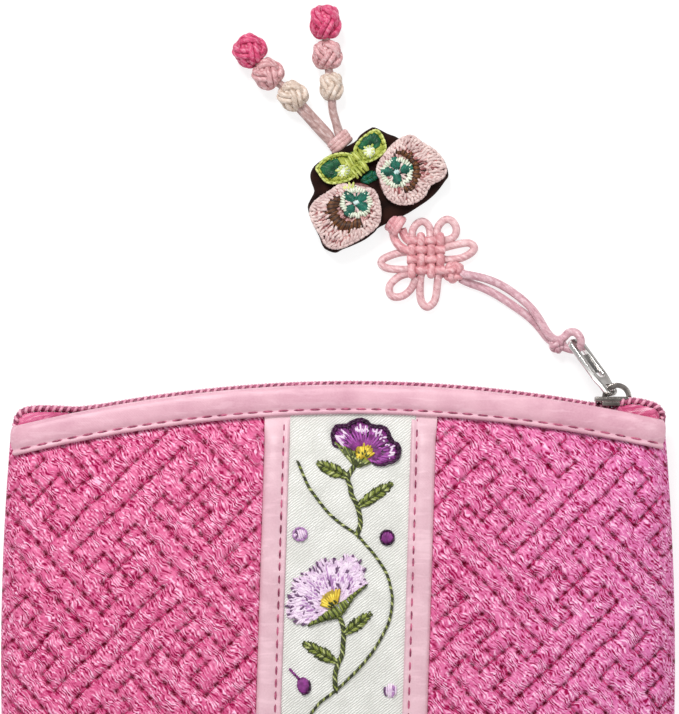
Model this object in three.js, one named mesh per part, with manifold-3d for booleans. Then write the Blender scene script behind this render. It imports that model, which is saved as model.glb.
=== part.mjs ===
// Embroidered coin purse: a quilted satin zip purse lying on its back, embroidered front up,
// with a knotted cord charm tied to the zip's pull tab and laid out on the same surface.
// Millimetres. X runs along the zip, +Y from the bottom seam to the zip, +Z up from the surface.
import * as THREE from "three";
import { mergeVertices } from "three/addons/utils/BufferGeometryUtils.js";
import Module from "manifold-3d";

const wasm = await Module();
wasm.setup();

// Purse outline, seen from above
const HALF_WIDTH = 60.8; // at the widest line
const WIDEST_Y = -5;
const SIDE_BOW = 1.9; // how far the sides draw in BOW_REACH away from the widest line
const BOW_REACH = 43;
const BOTTOM_Y = -45;
const CORNER_R = 14;
const TOP_Y = 45.1; // zip edge on the centre line
const TOP_RADIUS = 245;
const TOP_TILT = 0.01; // the zip edge climbs towards +X

// Purse section
const SEAM_Z = 5.45; // height of the side and bottom seam, and of the zip
const GAP = 0.3; // clearance between sewn pieces
const WELD = 0.02; // edges shorter than this are closed up where solids join
const EDGE_ROUND = 2.2; // roundness of the turned seam edge
const BACK_EDGE = 9; // the back lifts off the surface this far in from the seam
const QUILT_T = 2.4;
const SATIN_T = 1.4;
const PRESSED_T = 1; // every wall is pressed this thin inside the binding
const PRESSED_TO = 5.6; // distances below the zip edge where the pressing fades out
const PRESSED_END = 10;
const WALL_TOP = 1.35; // the walls stop this far below the binding's crest

// Height of the front, and how deep its edge rounding is, by the distance below the zip edge
const FRONT_PROFILE = [
  { below: 0, crown: 9.65, edge: 6 },
  { below: 5.5, crown: 9.8, edge: 7 },
  { below: 10, crown: 11.6, edge: 10 },
  { below: 22, crown: 13.8, edge: 14 },
  { below: 45, crown: 15, edge: 17 },
  { below: 70, crown: 14.3, edge: 16 },
  { below: 92, crown: 13, edge: 14 },
];

// Embroidered panel and the satin trims on both sides of it
const PANEL_X = 1.1; // the panel's axis at Y = 0
const PANEL_LEAN = 0.031; // and its slant, in mm per mm of Y
const PANEL_HALF = 10.9;
const TRIM_WIDTH = 4.6;
const PANEL_SINK = 0.7; // the panel and trims lie lower than the padded quilting
const TRIM_SINK = 0.4;

// Satin binding folded over the zip edge
const BINDING_H = 5.35;
const BINDING_T = 1;
const BINDING_END = 0.985; // it stops just short of the side seam, as a share of the half width
const INNER_LEG = 3.2;
const INNER_LEG_END = 53;

// Zip
const CHAIN_W = 3.4;
const CHAIN_H = 1.2;
const CHAIN_PROUD = 0.6; // the chain stands this far above the binding
const CHAIN_END = 58.8;
const TAPE_T = 1;
const TAPE_DEPTH = 6.5;
const TAPE_FREE_FROM = 50; // past here the tape leaves the binding and puffs up
const TAPE_FREE_TO = 53;
const TAPE_END = 57.3;
// How far the zip puffs up over the binding at its two ends
const ZIP_PUFF = [
  { fromEnd: 0, left: 0.2, right: 0.2 },
  { fromEnd: 0.5, left: 1.2, right: 1.1 },
  { fromEnd: 1.4, left: 2.0, right: 2.4 },
  { fromEnd: 3, left: 2.3, right: 2.7 },
  { fromEnd: 5, left: 2.1, right: 1.9 },
  { fromEnd: 6.2, left: 1.8, right: 0.8 },
  { fromEnd: 8.6, left: 1.2, right: 0.2 },
  { fromEnd: 12, left: 0.35, right: -0.2 },
  { fromEnd: 17, left: 0, right: 0 },
];

// Slider and pull tab
const SLIDER_X = 49.3;
const SLIDER_L = 6;
const SLIDER_PLATE = 1;
const SLIDER_W = 5.8;
const FLANGE_W = 0.9;
const BRIDGE = { x: 1, half: 2.5, height: 2.4, holeHalf: 1.75, holeHeight: 1.6, width: 1.2 };
const TAB = { length: 11.2, half: 2.3, thick: 0.8, bar: 1, eyeHalf: 1.85, eyeHole: 0.69, eyeHoleHalf: 1.1 };
const TAB_EYE_BAR = 0.7;
const TAB_WINDOW = { from: 2.6, half: 1.25 };
const TAB_HEADING = 125.5; // degrees from +X, seen from above
const TAB_DROP = 15; // degrees down to the surface
const TAB_TWIST = 28; // degrees about its length, lower left edge up
const TAB_ARCH_ANGLE = 135; // where on the bridge the tab's eye hangs

// Cord charm
const CORD_D = 1.5;
const CORD_SIDES = 8;
const LOOP_R = { along: 2.0, across: 1.65 }; // cord ring through the tab, to the cord's centre line
const LOOP_SHIFT = 0.35; // the ring's middle lies this far past the tab's end bar
const LOOP_MOUTH = 44; // degrees to each side that the ring leaves open for its knot
const LOOP_KNOT = { x: 39.5, y: 52.0, z: 1.6, r: [1.5, 1.4, 1.45] };
const UPPER_STRAND = [
  [38.2, 53.8, 2.5],
  [37.3, 55.4, 2.45],
  [35.8, 57.9, 2.2],
  [34.0, 59.9, 1.8],
  [31.6, 61.8, 1.3],
  [29.2, 63.3, 1.3],
  [26.5, 64.3, 1.9],
  [24.7, 64.7, 2.35],
  [23.6, 64.9, 2.4],
];
const LOWER_STRAND = [
  [37.85, 53.45, 0.8],
  [36.9, 54.9, 0.8],
  [35.5, 56.5, 0.8],
  [33.7, 58.0, 0.8],
  [31.5, 59.5, 0.8],
  [29.1, 61.1, 0.8],
  [26.2, 62.6, 0.8],
  [23.5, 63.5, 0.8],
];
const LOWER_KNOT = { x: 21.3, y: 65.0, z: 1.7, r: [1.95, 1.75, 1.6] };
const WEAVE = { x: 15.75, y: 67.95, z: 1.65, half: [3.3, 3.6], thick: 3, round: 0.9 };
// The knot's petals: where each cord loop leaves the weave, its way round and where it comes back
const PETALS = [
  { out: [13.6, 70.6], loop: [[13.6, 72.8], [14.2, 74.1], [15.4, 74.6], [16.5, 73.8]], back: [16.7, 70.6] },
  { out: [17.9, 70.6], loop: [[17.9, 73.4], [19.2, 74.8], [20.5, 74.8], [21.4, 73.4]], back: [18.4, 70.9] },
  { out: [18.2, 69.8], loop: [[22.0, 70.6], [24.0, 70.7], [24.7, 69.8], [22.4, 68.0]], back: [18.2, 67.5] },
  { out: [13.0, 68.8], loop: [[9.8, 68.6], [8.2, 67.8], [7.9, 66.9], [9.0, 66.1]], back: [13.0, 65.9] },
  { out: [13.2, 65.2], loop: [[10.7, 64.3], [9.3, 62.2], [10.3, 60.9], [13.0, 62.2]], back: [14.4, 65.2] },
  { out: [15.2, 65.2], loop: [[14.9, 61.6], [15.2, 59.9], [16.3, 59.1], [17.7, 61.0]], back: [17.9, 65.2] },
];
const PETAL_Z = 0.85; // the petals lie on the surface
const CORNER_CORDS = [
  [[10.3, 71.7, 1.3], [10.9, 70.5, 1.5], [13.4, 68.9, 1.65]],
  [[11.9, 72.3, 1.3], [12.4, 71.4, 1.5], [13.6, 70.4, 1.65]],
];
const UPPER_KNOT = { x: 10.55, y: 74.2, z: 1.7, r: [1.65, 1.65, 1.6] };

// Embroidered butterfly: its own axes are across and towards the head
const BUTTERFLY = { x: 6.8, y: 79.85, heading: 123, lift: 0.1, pad: 3.2, rim: 0.7, wing: 1 };
const PAD_HALF = [
  { across: 0, ahead: 9.2 },
  { across: 4.6, ahead: 10.2 },
  { across: 6.9, ahead: 9.8 },
  { across: 8.1, ahead: 8.0 },
  { across: 8.9, ahead: 6.4 },
  { across: 11.2, ahead: 5.0 },
  { across: 12.4, ahead: 2.6 },
  { across: 13.3, ahead: -1.0 },
  { across: 13.2, ahead: -3.2 },
  { across: 12.0, ahead: -4.9 },
  { across: 9.0, ahead: -5.9 },
  { across: 4.6, ahead: -6.2 },
];
const PAD_TAIL = { across: 0, ahead: -4.9 };
const LOWER_WING = [
  { across: 2.6, ahead: 3.3 },
  { across: 6.4, ahead: 4.8 },
  { across: 10.2, ahead: 4.7 },
  { across: 12.2, ahead: 2.2 },
  { across: 12.8, ahead: -1.2 },
  { across: 12.2, ahead: -3.6 },
  { across: 9.9, ahead: -4.6 },
  { across: 6.3, ahead: -5.3 },
  { across: 3.1, ahead: -4.9 },
  { across: 1.3, ahead: -2.3 },
  { across: 1.0, ahead: 0.5 },
];
const UPPER_WING = [
  { across: 6.3, ahead: 9.1 },
  { across: 4.4, ahead: 9.5 },
  { across: 1.9, ahead: 9.1 },
  { across: 0.7, ahead: 7.9 },
  { across: 0.7, ahead: 6.4 },
  { across: 1.8, ahead: 5.3 },
  { across: 3.5, ahead: 5.0 },
  { across: 5.3, ahead: 5.5 },
  { across: 6.5, ahead: 7.0 },
];

// Antennae: a knot at the head, two doubled cords and the bud knots on them
const HEAD_KNOT = { x: 0.35, y: 88.95, z: 1.7, r: [2.3, 1.45, 1.6], turn: 33 };
const STEM_WIDTH = 2.5;
const ANTENNAE = {
  left: {
    path: [[-1.75, 90.5, 1.75], [-3.2, 92.1, 2.0], [-4.8, 93.8, 2.3], [-5.9, 95.0, 2.5]],
    flat: true,
    turn: 48, // degrees that the buds turn with the antenna
    buds: [
      { tint: "cream", x: -8.05, y: 97.4, r: [2.65, 2.65, 2.6] },
      { tint: "light", x: -12.5, y: 101.1, r: [2.95, 2.7, 2.8] },
      { tint: "deep", x: -16.05, y: 105.2, r: [3.2, 2.45, 3.0] },
    ],
  },
  right: {
    path: [[0.0, 90.85, 1.75], [-0.4, 92.6, 2.0], [-0.9, 94.4, 2.2], [-1.1, 96.0, 2.35]],
    flat: false,
    turn: 4,
    buds: [
      { tint: "cream", x: -1.2, y: 98.8, r: [2.3, 2.45, 2.4] },
      { tint: "light", x: -1.95, y: 104.35, r: [2.85, 2.75, 2.8] },
      { tint: "deep", x: -2.3, y: 110.7, r: [3.1, 3.25, 3.1] },
    ],
  },
};
const BUD_LOBES = 4;
const BUD_LOBE_DEPTH = 0.06;

// Colours and finishes
const FINISH = {
  quilt: { color: 0xd8528b, roughness: 0.42, metalness: 0 },
  satin: { color: 0xeaa3bd, roughness: 0.4, metalness: 0 },
  white: { color: 0xeeeeea, roughness: 0.5, metalness: 0 },
  tape: { color: 0xcf4a80, roughness: 0.8, metalness: 0 },
  coil: { color: 0xd98aa6, roughness: 0.5, metalness: 0 },
  nickel: { color: 0xb9bab8, roughness: 0.25, metalness: 1 },
  cord: { color: 0xefb3bf, roughness: 0.6, metalness: 0 },
  felt: { color: 0x2a1512, roughness: 0.9, metalness: 0 },
  wingPink: { color: 0xe3b9b9, roughness: 0.6, metalness: 0 },
  wingGreen: { color: 0x7fa53a, roughness: 0.6, metalness: 0 },
  cream: { color: 0xefe0cf, roughness: 0.6, metalness: 0 },
  light: { color: 0xeba9b4, roughness: 0.6, metalness: 0 },
  deep: { color: 0xd63a78, roughness: 0.6, metalness: 0 },
};

const purse = new THREE.Group();
const clamp01 = (t) => Math.min(1, Math.max(0, t));
const lerp = THREE.MathUtils.lerp;
const radians = THREE.MathUtils.degToRad;
const point = (x, y, z) => new THREE.Vector3(x, y, z);

// Smooth value of one column of a table, by another column that rises
function tableAt(rows, by, column, at) {
  const last = rows.length - 1;
  if (at <= rows[0][by]) return rows[0][column];
  if (at >= rows[last][by]) return rows[last][column];
  const i = rows.findIndex((row) => row[by] >= at) - 1;
  const slope = (k) => {
    const before = rows[Math.max(0, k - 1)];
    const after = rows[Math.min(last, k + 1)];
    return (after[column] - before[column]) / (after[by] - before[by]);
  };
  const [p, q] = [rows[i], rows[i + 1]];
  const span = q[by] - p[by];
  const t = (at - p[by]) / span;
  const tangentIn = t * (1 - t) * (1 - t) * span * slope(i);
  const tangentOut = t * t * (t - 1) * span * slope(i + 1);
  return lerp(p[column], q[column], t * t * (3 - 2 * t)) + tangentIn + tangentOut;
}

// Solids

function solidFrom(geometry) {
  const bare = new THREE.BufferGeometry().setAttribute("position", geometry.getAttribute("position"));
  if (geometry.index) bare.setIndex(geometry.index);
  const merged = mergeVertices(bare, 1e-3);
  const vertProperties = new Float32Array(merged.attributes.position.array);
  const triVerts = new Uint32Array(merged.index.array);
  const build = () => new wasm.Manifold(new wasm.Mesh({ numProp: 3, vertProperties, triVerts }));
  const made = build();
  if (made.volume() > 0) return made;
  for (let i = 0; i < triVerts.length; i += 3) {
    [triVerts[i + 1], triVerts[i + 2]] = [triVerts[i + 2], triVerts[i + 1]];
  }
  return build();
}

function geometryFrom(solid) {
  const mesh = solid.getMesh();
  const positions = new Float32Array(mesh.numVert * 3);
  for (let i = 0; i < mesh.numVert; i++) {
    const at = i * mesh.numProp;
    positions.set(mesh.vertProperties.subarray(at, at + 3), i * 3);
  }
  const geometry = new THREE.BufferGeometry();
  geometry.setAttribute("position", new THREE.BufferAttribute(positions, 3));
  geometry.setIndex(new THREE.BufferAttribute(new Uint32Array(mesh.triVerts), 1));
  geometry.computeVertexNormals();
  return geometry;
}

function addPiece(name, solid, finish) {
  const mesh = new THREE.Mesh(geometryFrom(solid), new THREE.MeshStandardMaterial(FINISH[finish]));
  mesh.name = name;
  purse.add(mesh);
}

// Joins solids into one body and takes out the slivers along the joints
function joined(first, ...others) {
  return others.reduce((whole, solid) => whole.add(solid), first).asOriginal().simplify(WELD);
}

// Moves each vertex of a geometry to where it belongs
function bent(geometry, place) {
  const at = geometry.getAttribute("position");
  for (let i = 0; i < at.count; i++) {
    const p = place(at.getX(i), at.getY(i), at.getZ(i));
    at.setXYZ(i, p.x, p.y, p.z);
  }
  return solidFrom(geometry);
}

// A wall bent from a flat box: place gives the point at a column and row of its outer or inner face
function bentWall(columnCount, rowCount, place) {
  const [across, up] = [columnCount - 1, rowCount - 1];
  const box = new THREE.BoxGeometry(1, 1, 1, across, up, 1);
  return bent(box, (x, y, z) => place(Math.round((x + 0.5) * across), Math.round((y + 0.5) * up), z > 0));
}

// A tube of oval section along a smooth path
function tube(path, stepCount, across = CORD_D, high = CORD_D) {
  const section = new THREE.Shape();
  for (let k = 0; k < CORD_SIDES; k++) {
    const angle = ((k + 0.5) / CORD_SIDES) * 2 * Math.PI;
    const corner = [(high / 2) * Math.cos(angle), (across / 2) * Math.sin(angle)];
    if (k === 0) section.moveTo(...corner);
    else section.lineTo(...corner);
  }
  section.closePath();
  const curve = new THREE.CatmullRomCurve3(path, false, "centripetal");
  const options = { steps: stepCount, extrudePath: curve, curveSegments: 1 };
  return solidFrom(new THREE.ExtrudeGeometry(section, options));
}

// A ball of cord: an egg with shallow lobes, as a tied knot has
function knotBall({ x, y, z, r, turn = 0 }) {
  const spin = radians(turn);
  return bent(new THREE.SphereGeometry(1, 12, 8), (px, py, pz) => {
    const ring = Math.sqrt(Math.max(0, 1 - py * py));
    const lobe = Math.cos(BUD_LOBES * Math.atan2(pz, px)) * Math.sin(3 * Math.PI * py) * ring;
    const swell = 1 - BUD_LOBE_DEPTH * (0.5 + 0.5 * lobe);
    const [qx, qy] = [px * r[0] * swell, py * r[1] * swell];
    const turnedX = qx * Math.cos(spin) - qy * Math.sin(spin);
    const turnedY = qx * Math.sin(spin) + qy * Math.cos(spin);
    return point(x + turnedX, y + turnedY, z + pz * r[2] * swell);
  });
}

// Purse shape

const topEdge = (x) => TOP_Y + TOP_TILT * x - (x * x) / (2 * TOP_RADIUS);
const bowedHalf = (y) => HALF_WIDTH - SIDE_BOW * ((y - WIDEST_Y) / BOW_REACH) ** 2;

function halfWidth(y, inset) {
  const radius = CORNER_R - inset;
  const above = y - (BOTTOM_Y + inset);
  const straight = bowedHalf(y) - inset;
  if (above >= radius) return straight;
  return straight - radius + Math.sqrt(Math.max(0, radius ** 2 - (radius - above) ** 2));
}

// Distance in from the side and bottom seam
function seamDistance(x, y, inset) {
  const radius = CORNER_R - inset;
  const bottom = BOTTOM_Y + inset;
  const half = bowedHalf(y) - inset;
  const [cx, cy] = [half - radius, bottom + radius];
  if (Math.abs(x) > cx && y < cy) return radius - Math.hypot(Math.abs(x) - cx, y - cy);
  return Math.min(half - Math.abs(x), y - bottom);
}

function edgeRise(distance, depth) {
  const left = 1 - clamp01(distance / depth);
  return (1 - left ** EDGE_ROUND) ** (1 / EDGE_ROUND);
}

const pressing = (below) => THREE.MathUtils.smoothstep(below, PRESSED_TO, PRESSED_END);

// Height of the front (side 1) or the back (side -1), inset into the wall
function surfaceZ(side, x, y, inset) {
  const below = topEdge(x) - y;
  const rim = SEAM_Z + (side * GAP) / 2;
  const distance = seamDistance(x, y, inset);
  if (side > 0) {
    const crown = tableAt(FRONT_PROFILE, "below", "crown", below) - inset;
    const depth = tableAt(FRONT_PROFILE, "below", "edge", below) - inset / 2;
    return rim + (crown - rim) * edgeRise(distance, depth);
  }
  const pressedFloor = BINDING_T + GAP;
  const floor = pressedFloor * (1 - pressing(below)) + inset;
  return rim + (floor - rim) * edgeRise(distance, BACK_EDGE - inset / 2);
}

// A point of a wall at u across (-1 to 1) and v up (0 to 1), with its inset by the distance below
function wallPoint(side, u, v, insetAt) {
  const deepInset = insetAt(PRESSED_END);
  const bottom = BOTTOM_Y + deepInset;
  let x = u * HALF_WIDTH;
  let y = bottom;
  let inset = deepInset;
  for (let pass = 0; pass < 3; pass++) {
    y = lerp(bottom, topEdge(x) - WALL_TOP, v);
    inset = insetAt(topEdge(x) - y);
    x = u * halfWidth(y, inset);
  }
  return point(x, y, surfaceZ(side, x, y, inset));
}

// Rows up a wall, close together at the turned bottom edge and under the binding
const ROWS = [0, 0.014, 0.04, 0.08, 0.13, 0.19, 0.28, 0.4, 0.54, 0.68, 0.8, 0.88, 0.915, 0.945, 1];
const rowY = (v) => lerp(BOTTOM_Y, TOP_Y - WALL_TOP, v);
const panelAxis = (y) => PANEL_X + PANEL_LEAN * y;
const shareAt = (x, y) => x / halfWidth(y, 0);

// A sewn panel between two edges, given as shares of the half width at each row
function sewnPanel(side, leftEdge, rightEdge, columns, thickness, sink) {
  const outerInset = (below) => sink * pressing(below);
  const innerInset = (below) => outerInset(below) + lerp(PRESSED_T, thickness, pressing(below));
  return bentWall(columns.length, ROWS.length, (column, row, isOuter) => {
    const y = rowY(ROWS[row]);
    const share = lerp(leftEdge(y), rightEdge(y), columns[column]);
    return wallPoint(side, share, ROWS[row], isOuter ? outerInset : innerInset);
  });
}

const SEAM_COLUMNS = [0, 0.02, 0.06, 0.13, 0.25, 0.45, 0.7, 1]; // close together at the seam
const fromRight = SEAM_COLUMNS.map((c) => 1 - c).reverse();
const panelEdge = (offset) => (y) => shareAt(panelAxis(y) + offset, y);
const TRIM_EDGE = PANEL_HALF + TRIM_WIDTH;
const HALF_GAP = GAP / 2;

function addFront() {
  const quiltLeft = sewnPanel(1, () => -1, panelEdge(-TRIM_EDGE - HALF_GAP), SEAM_COLUMNS, QUILT_T, 0);
  const quiltRight = sewnPanel(1, panelEdge(TRIM_EDGE + HALF_GAP), () => 1, fromRight, QUILT_T, 0);
  addPiece("front_quilt_left", quiltLeft, "quilt");
  addPiece("front_quilt_right", quiltRight, "quilt");
  const panelColumns = [0, 0.25, 0.5, 0.75, 1];
  const panelLeft = panelEdge(-PANEL_HALF + HALF_GAP);
  const panelRight = panelEdge(PANEL_HALF - HALF_GAP);
  const panel = sewnPanel(1, panelLeft, panelRight, panelColumns, SATIN_T, PANEL_SINK);
  addPiece("embroidered_panel", panel, "white");
  for (const [name, sign] of [["panel_trim_left", -1], ["panel_trim_right", 1]]) {
    const edges = [sign * (PANEL_HALF + HALF_GAP), sign * (TRIM_EDGE - HALF_GAP)].sort((a, b) => a - b);
    const trim = sewnPanel(1, panelEdge(edges[0]), panelEdge(edges[1]), [0, 0.5, 1], SATIN_T, TRIM_SINK);
    addPiece(name, trim, "satin");
  }
}

function addBack() {
  const half = SEAM_COLUMNS.map((c) => c / 2);
  const columns = [...half, ...half.slice(0, -1).map((c) => 1 - c).reverse()];
  addPiece("back_quilt", sewnPanel(-1, () => -1, () => 1, columns, QUILT_T, 0), "quilt");
}

// Binding

// A point off the pressed wall's outer face, below the zip edge and lifted along the face's normal
function bindingPoint(side, x, below, lift) {
  const step = 0.05;
  const y = topEdge(x) - below;
  const z = (dx, dy) => surfaceZ(side, x + dx, y + dy, 0);
  const slopeX = (z(step, 0) - z(-step, 0)) / (2 * step);
  const slopeY = (z(0, step) - z(0, -step)) / (2 * step);
  const normal = point(-slopeX, -slopeY, 1).normalize().multiplyScalar(side * lift);
  return point(x, y, z(0, 0)).add(normal);
}

function bindingLoft(side, stations, outer, inner) {
  return bentWall(stations.length, outer.length, (column, row, isOuter) => {
    const [below, lift] = isOuter ? outer[row] : inner[row];
    return bindingPoint(side, stations[column], below, lift);
  });
}

const BINDING_STATIONS = [1, 0.97, 0.93, 0.87, 0.78, 0.66, 0.5, 0.3, 0.1];
const mirrored = (list) => [...list.map((s) => -s), ...list.slice().reverse()];

function addBinding(name, side) {
  const outside = GAP + BINDING_T;
  const inside = -PRESSED_T - GAP;
  const middle = -PRESSED_T / 2;
  const crestT = WALL_TOP - GAP;
  const end = BINDING_END * halfWidth(topEdge(HALF_WIDTH), 0);
  const stations = mirrored(BINDING_STATIONS).map((s) => s * end);
  // Pairs of distance below the zip edge and lift off the wall
  const outerLeg = [[BINDING_H, outside], [3, outside], [0.8, outside - 0.1], [0.15, 0.5], [0, middle]];
  const outerLegInside = [[BINDING_H, GAP], [3, GAP], [crestT + GAP, GAP], [crestT, GAP], [crestT, middle]];
  const innerLeg = [[0.12, -0.3], [0.2, inside - 0.15], [0.8, inside - 0.9], [INNER_LEG, inside - BINDING_T]];
  const innerLegInside = [[0.95, -0.3], [crestT, inside], [crestT + GAP, inside], [INNER_LEG, inside]];
  const shell = bindingLoft(side, stations, outerLeg, outerLegInside);
  const legStations = stations.filter((x) => Math.abs(x) < INNER_LEG_END);
  const leg = bindingLoft(side, legStations, innerLeg, innerLegInside);
  addPiece(name, joined(shell, leg), "satin");
}

// Zip

function zipPuff(x) {
  return tableAt(ZIP_PUFF, "fromEnd", x < 0 ? "left" : "right", CHAIN_END - Math.abs(x));
}

const chainTop = (x) => topEdge(x) + CHAIN_PROUD + zipPuff(x);
const ZIP_STATIONS = [56.6, 55.3, 54, 52.9, 51.5, 49.7, 46.3, 41.3, 33, 22, 11];

function addZip() {
  const chainStations = mirrored([CHAIN_END, 58.2, 57.4, ...ZIP_STATIONS]);
  const chainSteps = chainStations.length - 1;
  const bar = new THREE.CylinderGeometry(1, 1, 1, 8, chainSteps);
  const chain = bent(bar, (across, along, up) => {
    const x = chainStations[Math.round((along + 0.5) * chainSteps)];
    return point(x, chainTop(x) - CHAIN_H / 2 + (up * CHAIN_H) / 2, SEAM_Z + (across * CHAIN_W) / 2);
  });
  addPiece("zip_chain", chain, "coil");
  const tapeStations = mirrored([TAPE_END, ...ZIP_STATIONS.slice(1)]);
  const faceZ = FRONT_PROFILE[0].crown - PRESSED_T - BINDING_T - 2 * GAP - SEAM_Z;
  for (const [name, side] of [["zip_tape_front", 1], ["zip_tape_back", -1]]) {
    const tape = bentWall(tapeStations.length, 2, (column, row, isOuter) => {
      const x = tapeStations[column];
      const free = THREE.MathUtils.smoothstep(Math.abs(x), TAPE_FREE_FROM, TAPE_FREE_TO);
      const top = chainTop(x) - CHAIN_H - GAP;
      const bottom = lerp(topEdge(x) - TAPE_DEPTH, topEdge(x) + GAP, free);
      const depth = isOuter ? 0 : TAPE_T;
      return point(x, row === 1 ? top : bottom, SEAM_Z + side * (faceZ - depth));
    });
    addPiece(name, tape, "tape");
  }
}

// Slider and pull tab

function block(x0, x1, y0, y1, z0, z1) {
  const geometry = new THREE.BoxGeometry(x1 - x0, y1 - y0, z1 - z0);
  geometry.translate((x0 + x1) / 2, (y0 + y1) / 2, (z0 + z1) / 2);
  return solidFrom(geometry);
}

const SLIDER_ENDS = [SLIDER_X - SLIDER_L / 2, SLIDER_X + SLIDER_L / 2];
const PLATE_BOTTOM = Math.max(...SLIDER_ENDS.map(chainTop)) + GAP;
const PLATE_TOP = PLATE_BOTTOM + SLIDER_PLATE;
const BRIDGE_X = SLIDER_X + BRIDGE.x;

function addSlider() {
  const [x0, x1] = SLIDER_ENDS;
  const half = SLIDER_W / 2;
  const shoulder = 1.2;
  const outline = new THREE.Shape();
  outline.moveTo(x0, -half + shoulder);
  outline.lineTo(x0 + shoulder, -half);
  outline.lineTo(x1, -half);
  outline.lineTo(x1, half);
  outline.lineTo(x0 + shoulder, half);
  outline.lineTo(x0, half - shoulder);
  outline.closePath();
  const plate = new THREE.ExtrudeGeometry(outline, { depth: SLIDER_PLATE, bevelEnabled: false });
  plate.rotateX(-Math.PI / 2).translate(0, PLATE_BOTTOM, SEAM_Z);
  let slider = solidFrom(plate);
  const flangeFoot = topEdge(x0 + shoulder) + GAP;
  for (const side of [-1, 1]) {
    const faces = [SEAM_Z + side * half, SEAM_Z + side * (half - FLANGE_W)].sort((a, b) => a - b);
    const flange = block(x0 + shoulder, x1 - 0.4, flangeFoot, PLATE_BOTTOM + 0.2, faces[0], faces[1]);
    slider = slider.add(flange);
  }
  const arch = new THREE.Shape();
  const foot = PLATE_TOP - 0.2;
  arch.moveTo(BRIDGE_X + BRIDGE.half, foot);
  arch.absellipse(BRIDGE_X, PLATE_TOP, BRIDGE.half, BRIDGE.height, 0, Math.PI, false);
  arch.lineTo(BRIDGE_X - BRIDGE.half, foot);
  arch.lineTo(BRIDGE_X - BRIDGE.holeHalf, foot);
  arch.absellipse(BRIDGE_X, PLATE_TOP, BRIDGE.holeHalf, BRIDGE.holeHeight, Math.PI, 0, true);
  arch.lineTo(BRIDGE_X + BRIDGE.holeHalf, foot);
  arch.closePath();
  const archOptions = { depth: BRIDGE.width, bevelEnabled: false, curveSegments: 10 };
  const bridge = new THREE.ExtrudeGeometry(arch, archOptions).translate(0, 0, SEAM_Z - BRIDGE.width / 2);
  addPiece("zip_slider", slider.add(solidFrom(bridge)), "nickel");
}

// The tab's own axes: along it, across it and through it
function tabFrame() {
  const heading = radians(TAB_HEADING);
  const drop = radians(TAB_DROP);
  const twist = radians(TAB_TWIST);
  const ahead = point(Math.cos(heading), Math.sin(heading), 0);
  const along = ahead.multiplyScalar(Math.cos(drop)).setZ(-Math.sin(drop));
  const level = point(-Math.sin(heading), Math.cos(heading), 0);
  const upright = along.clone().cross(level).negate();
  if (upright.z < 0) upright.negate();
  const across = upright.clone().multiplyScalar(Math.cos(twist)).addScaledVector(level, Math.sin(twist));
  const through = along.clone().cross(across);
  const arch = radians(TAB_ARCH_ANGLE);
  const mid = (outer, inner) => (outer + inner) / 2;
  const hang = point(
    BRIDGE_X + mid(BRIDGE.half, BRIDGE.holeHalf) * Math.cos(arch),
    PLATE_TOP + mid(BRIDGE.height, BRIDGE.holeHeight) * Math.sin(arch),
    SEAM_Z,
  );
  return { along, across, through, hang };
}

const TAB_AXES = tabFrame();

function roundedBox(shape, x0, x1, half, round) {
  shape.moveTo(x0 + round, -half);
  shape.lineTo(x1 - round, -half);
  shape.absarc(x1 - round, -half + round, round, -Math.PI / 2, 0, false);
  shape.lineTo(x1, half - round);
  shape.absarc(x1 - round, half - round, round, 0, Math.PI / 2, false);
  shape.lineTo(x0 + round, half);
  shape.absarc(x0 + round, half - round, round, Math.PI / 2, Math.PI, false);
  shape.lineTo(x0, -half + round);
  shape.absarc(x0 + round, -half + round, round, Math.PI, 1.5 * Math.PI, false);
  return shape;
}

function addPullTab() {
  const { along, across, through, hang } = TAB_AXES;
  const place = new THREE.Matrix4().makeBasis(along, across, through).setPosition(hang);
  const plateOf = (shape, thick) => {
    const options = { depth: thick, bevelEnabled: false, curveSegments: 4 };
    const geometry = new THREE.ExtrudeGeometry(shape, options);
    return solidFrom(geometry.translate(0, 0, -thick / 2).applyMatrix4(place));
  };
  const eyeFrom = -TAB.eyeHole - TAB_EYE_BAR;
  const eye = plateOf(roundedBox(new THREE.Shape(), eyeFrom, TAB_WINDOW.from, TAB.eyeHalf, 0.8), TAB.thick);
  const paddle = plateOf(roundedBox(new THREE.Shape(), 1.5, TAB.length, TAB.half, 1.2), TAB.thick);
  const cut = TAB.thick + 1;
  const eyeHole = plateOf(
    roundedBox(new THREE.Shape(), -TAB.eyeHole, TAB.eyeHole, TAB.eyeHoleHalf, 0.4), cut);
  const window = plateOf(
    roundedBox(new THREE.Shape(), TAB_WINDOW.from, TAB.length - TAB.bar, TAB_WINDOW.half, 0.9), cut);
  const plate = joined(eye, paddle);
  addPiece("pull_tab", plate.subtract(eyeHole).subtract(window).asOriginal().simplify(WELD), "nickel");
}

// Cord charm

function addLoopCord() {
  const { along, through, hang } = TAB_AXES;
  const towardsKnot = through.x < 0 ? through : through.clone().negate();
  const centre = hang.clone().addScaledVector(along, TAB.length - TAB.bar / 2 + LOOP_SHIFT);
  const ring = [];
  const ringSteps = 16;
  for (let k = 0; k <= ringSteps; k++) {
    const angle = radians(lerp(LOOP_MOUTH, 360 - LOOP_MOUTH, k / ringSteps));
    const onRing = centre.clone().addScaledVector(towardsKnot, LOOP_R.across * Math.cos(angle));
    ring.push(onRing.addScaledVector(along, LOOP_R.along * Math.sin(angle)));
  }
  addPiece("cord_ring", tube(ring, ringSteps), "cord");
  addPiece("cord_ring_knot", knotBall(LOOP_KNOT), "cord");
  addPiece("cord_strand_upper", tube(UPPER_STRAND.map((p) => point(...p)), 14), "cord");
  addPiece("cord_strand_lower", tube(LOWER_STRAND.map((p) => point(...p)), 12), "cord");
  addPiece("flower_lower_knot", knotBall(LOWER_KNOT), "cord");
}

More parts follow.
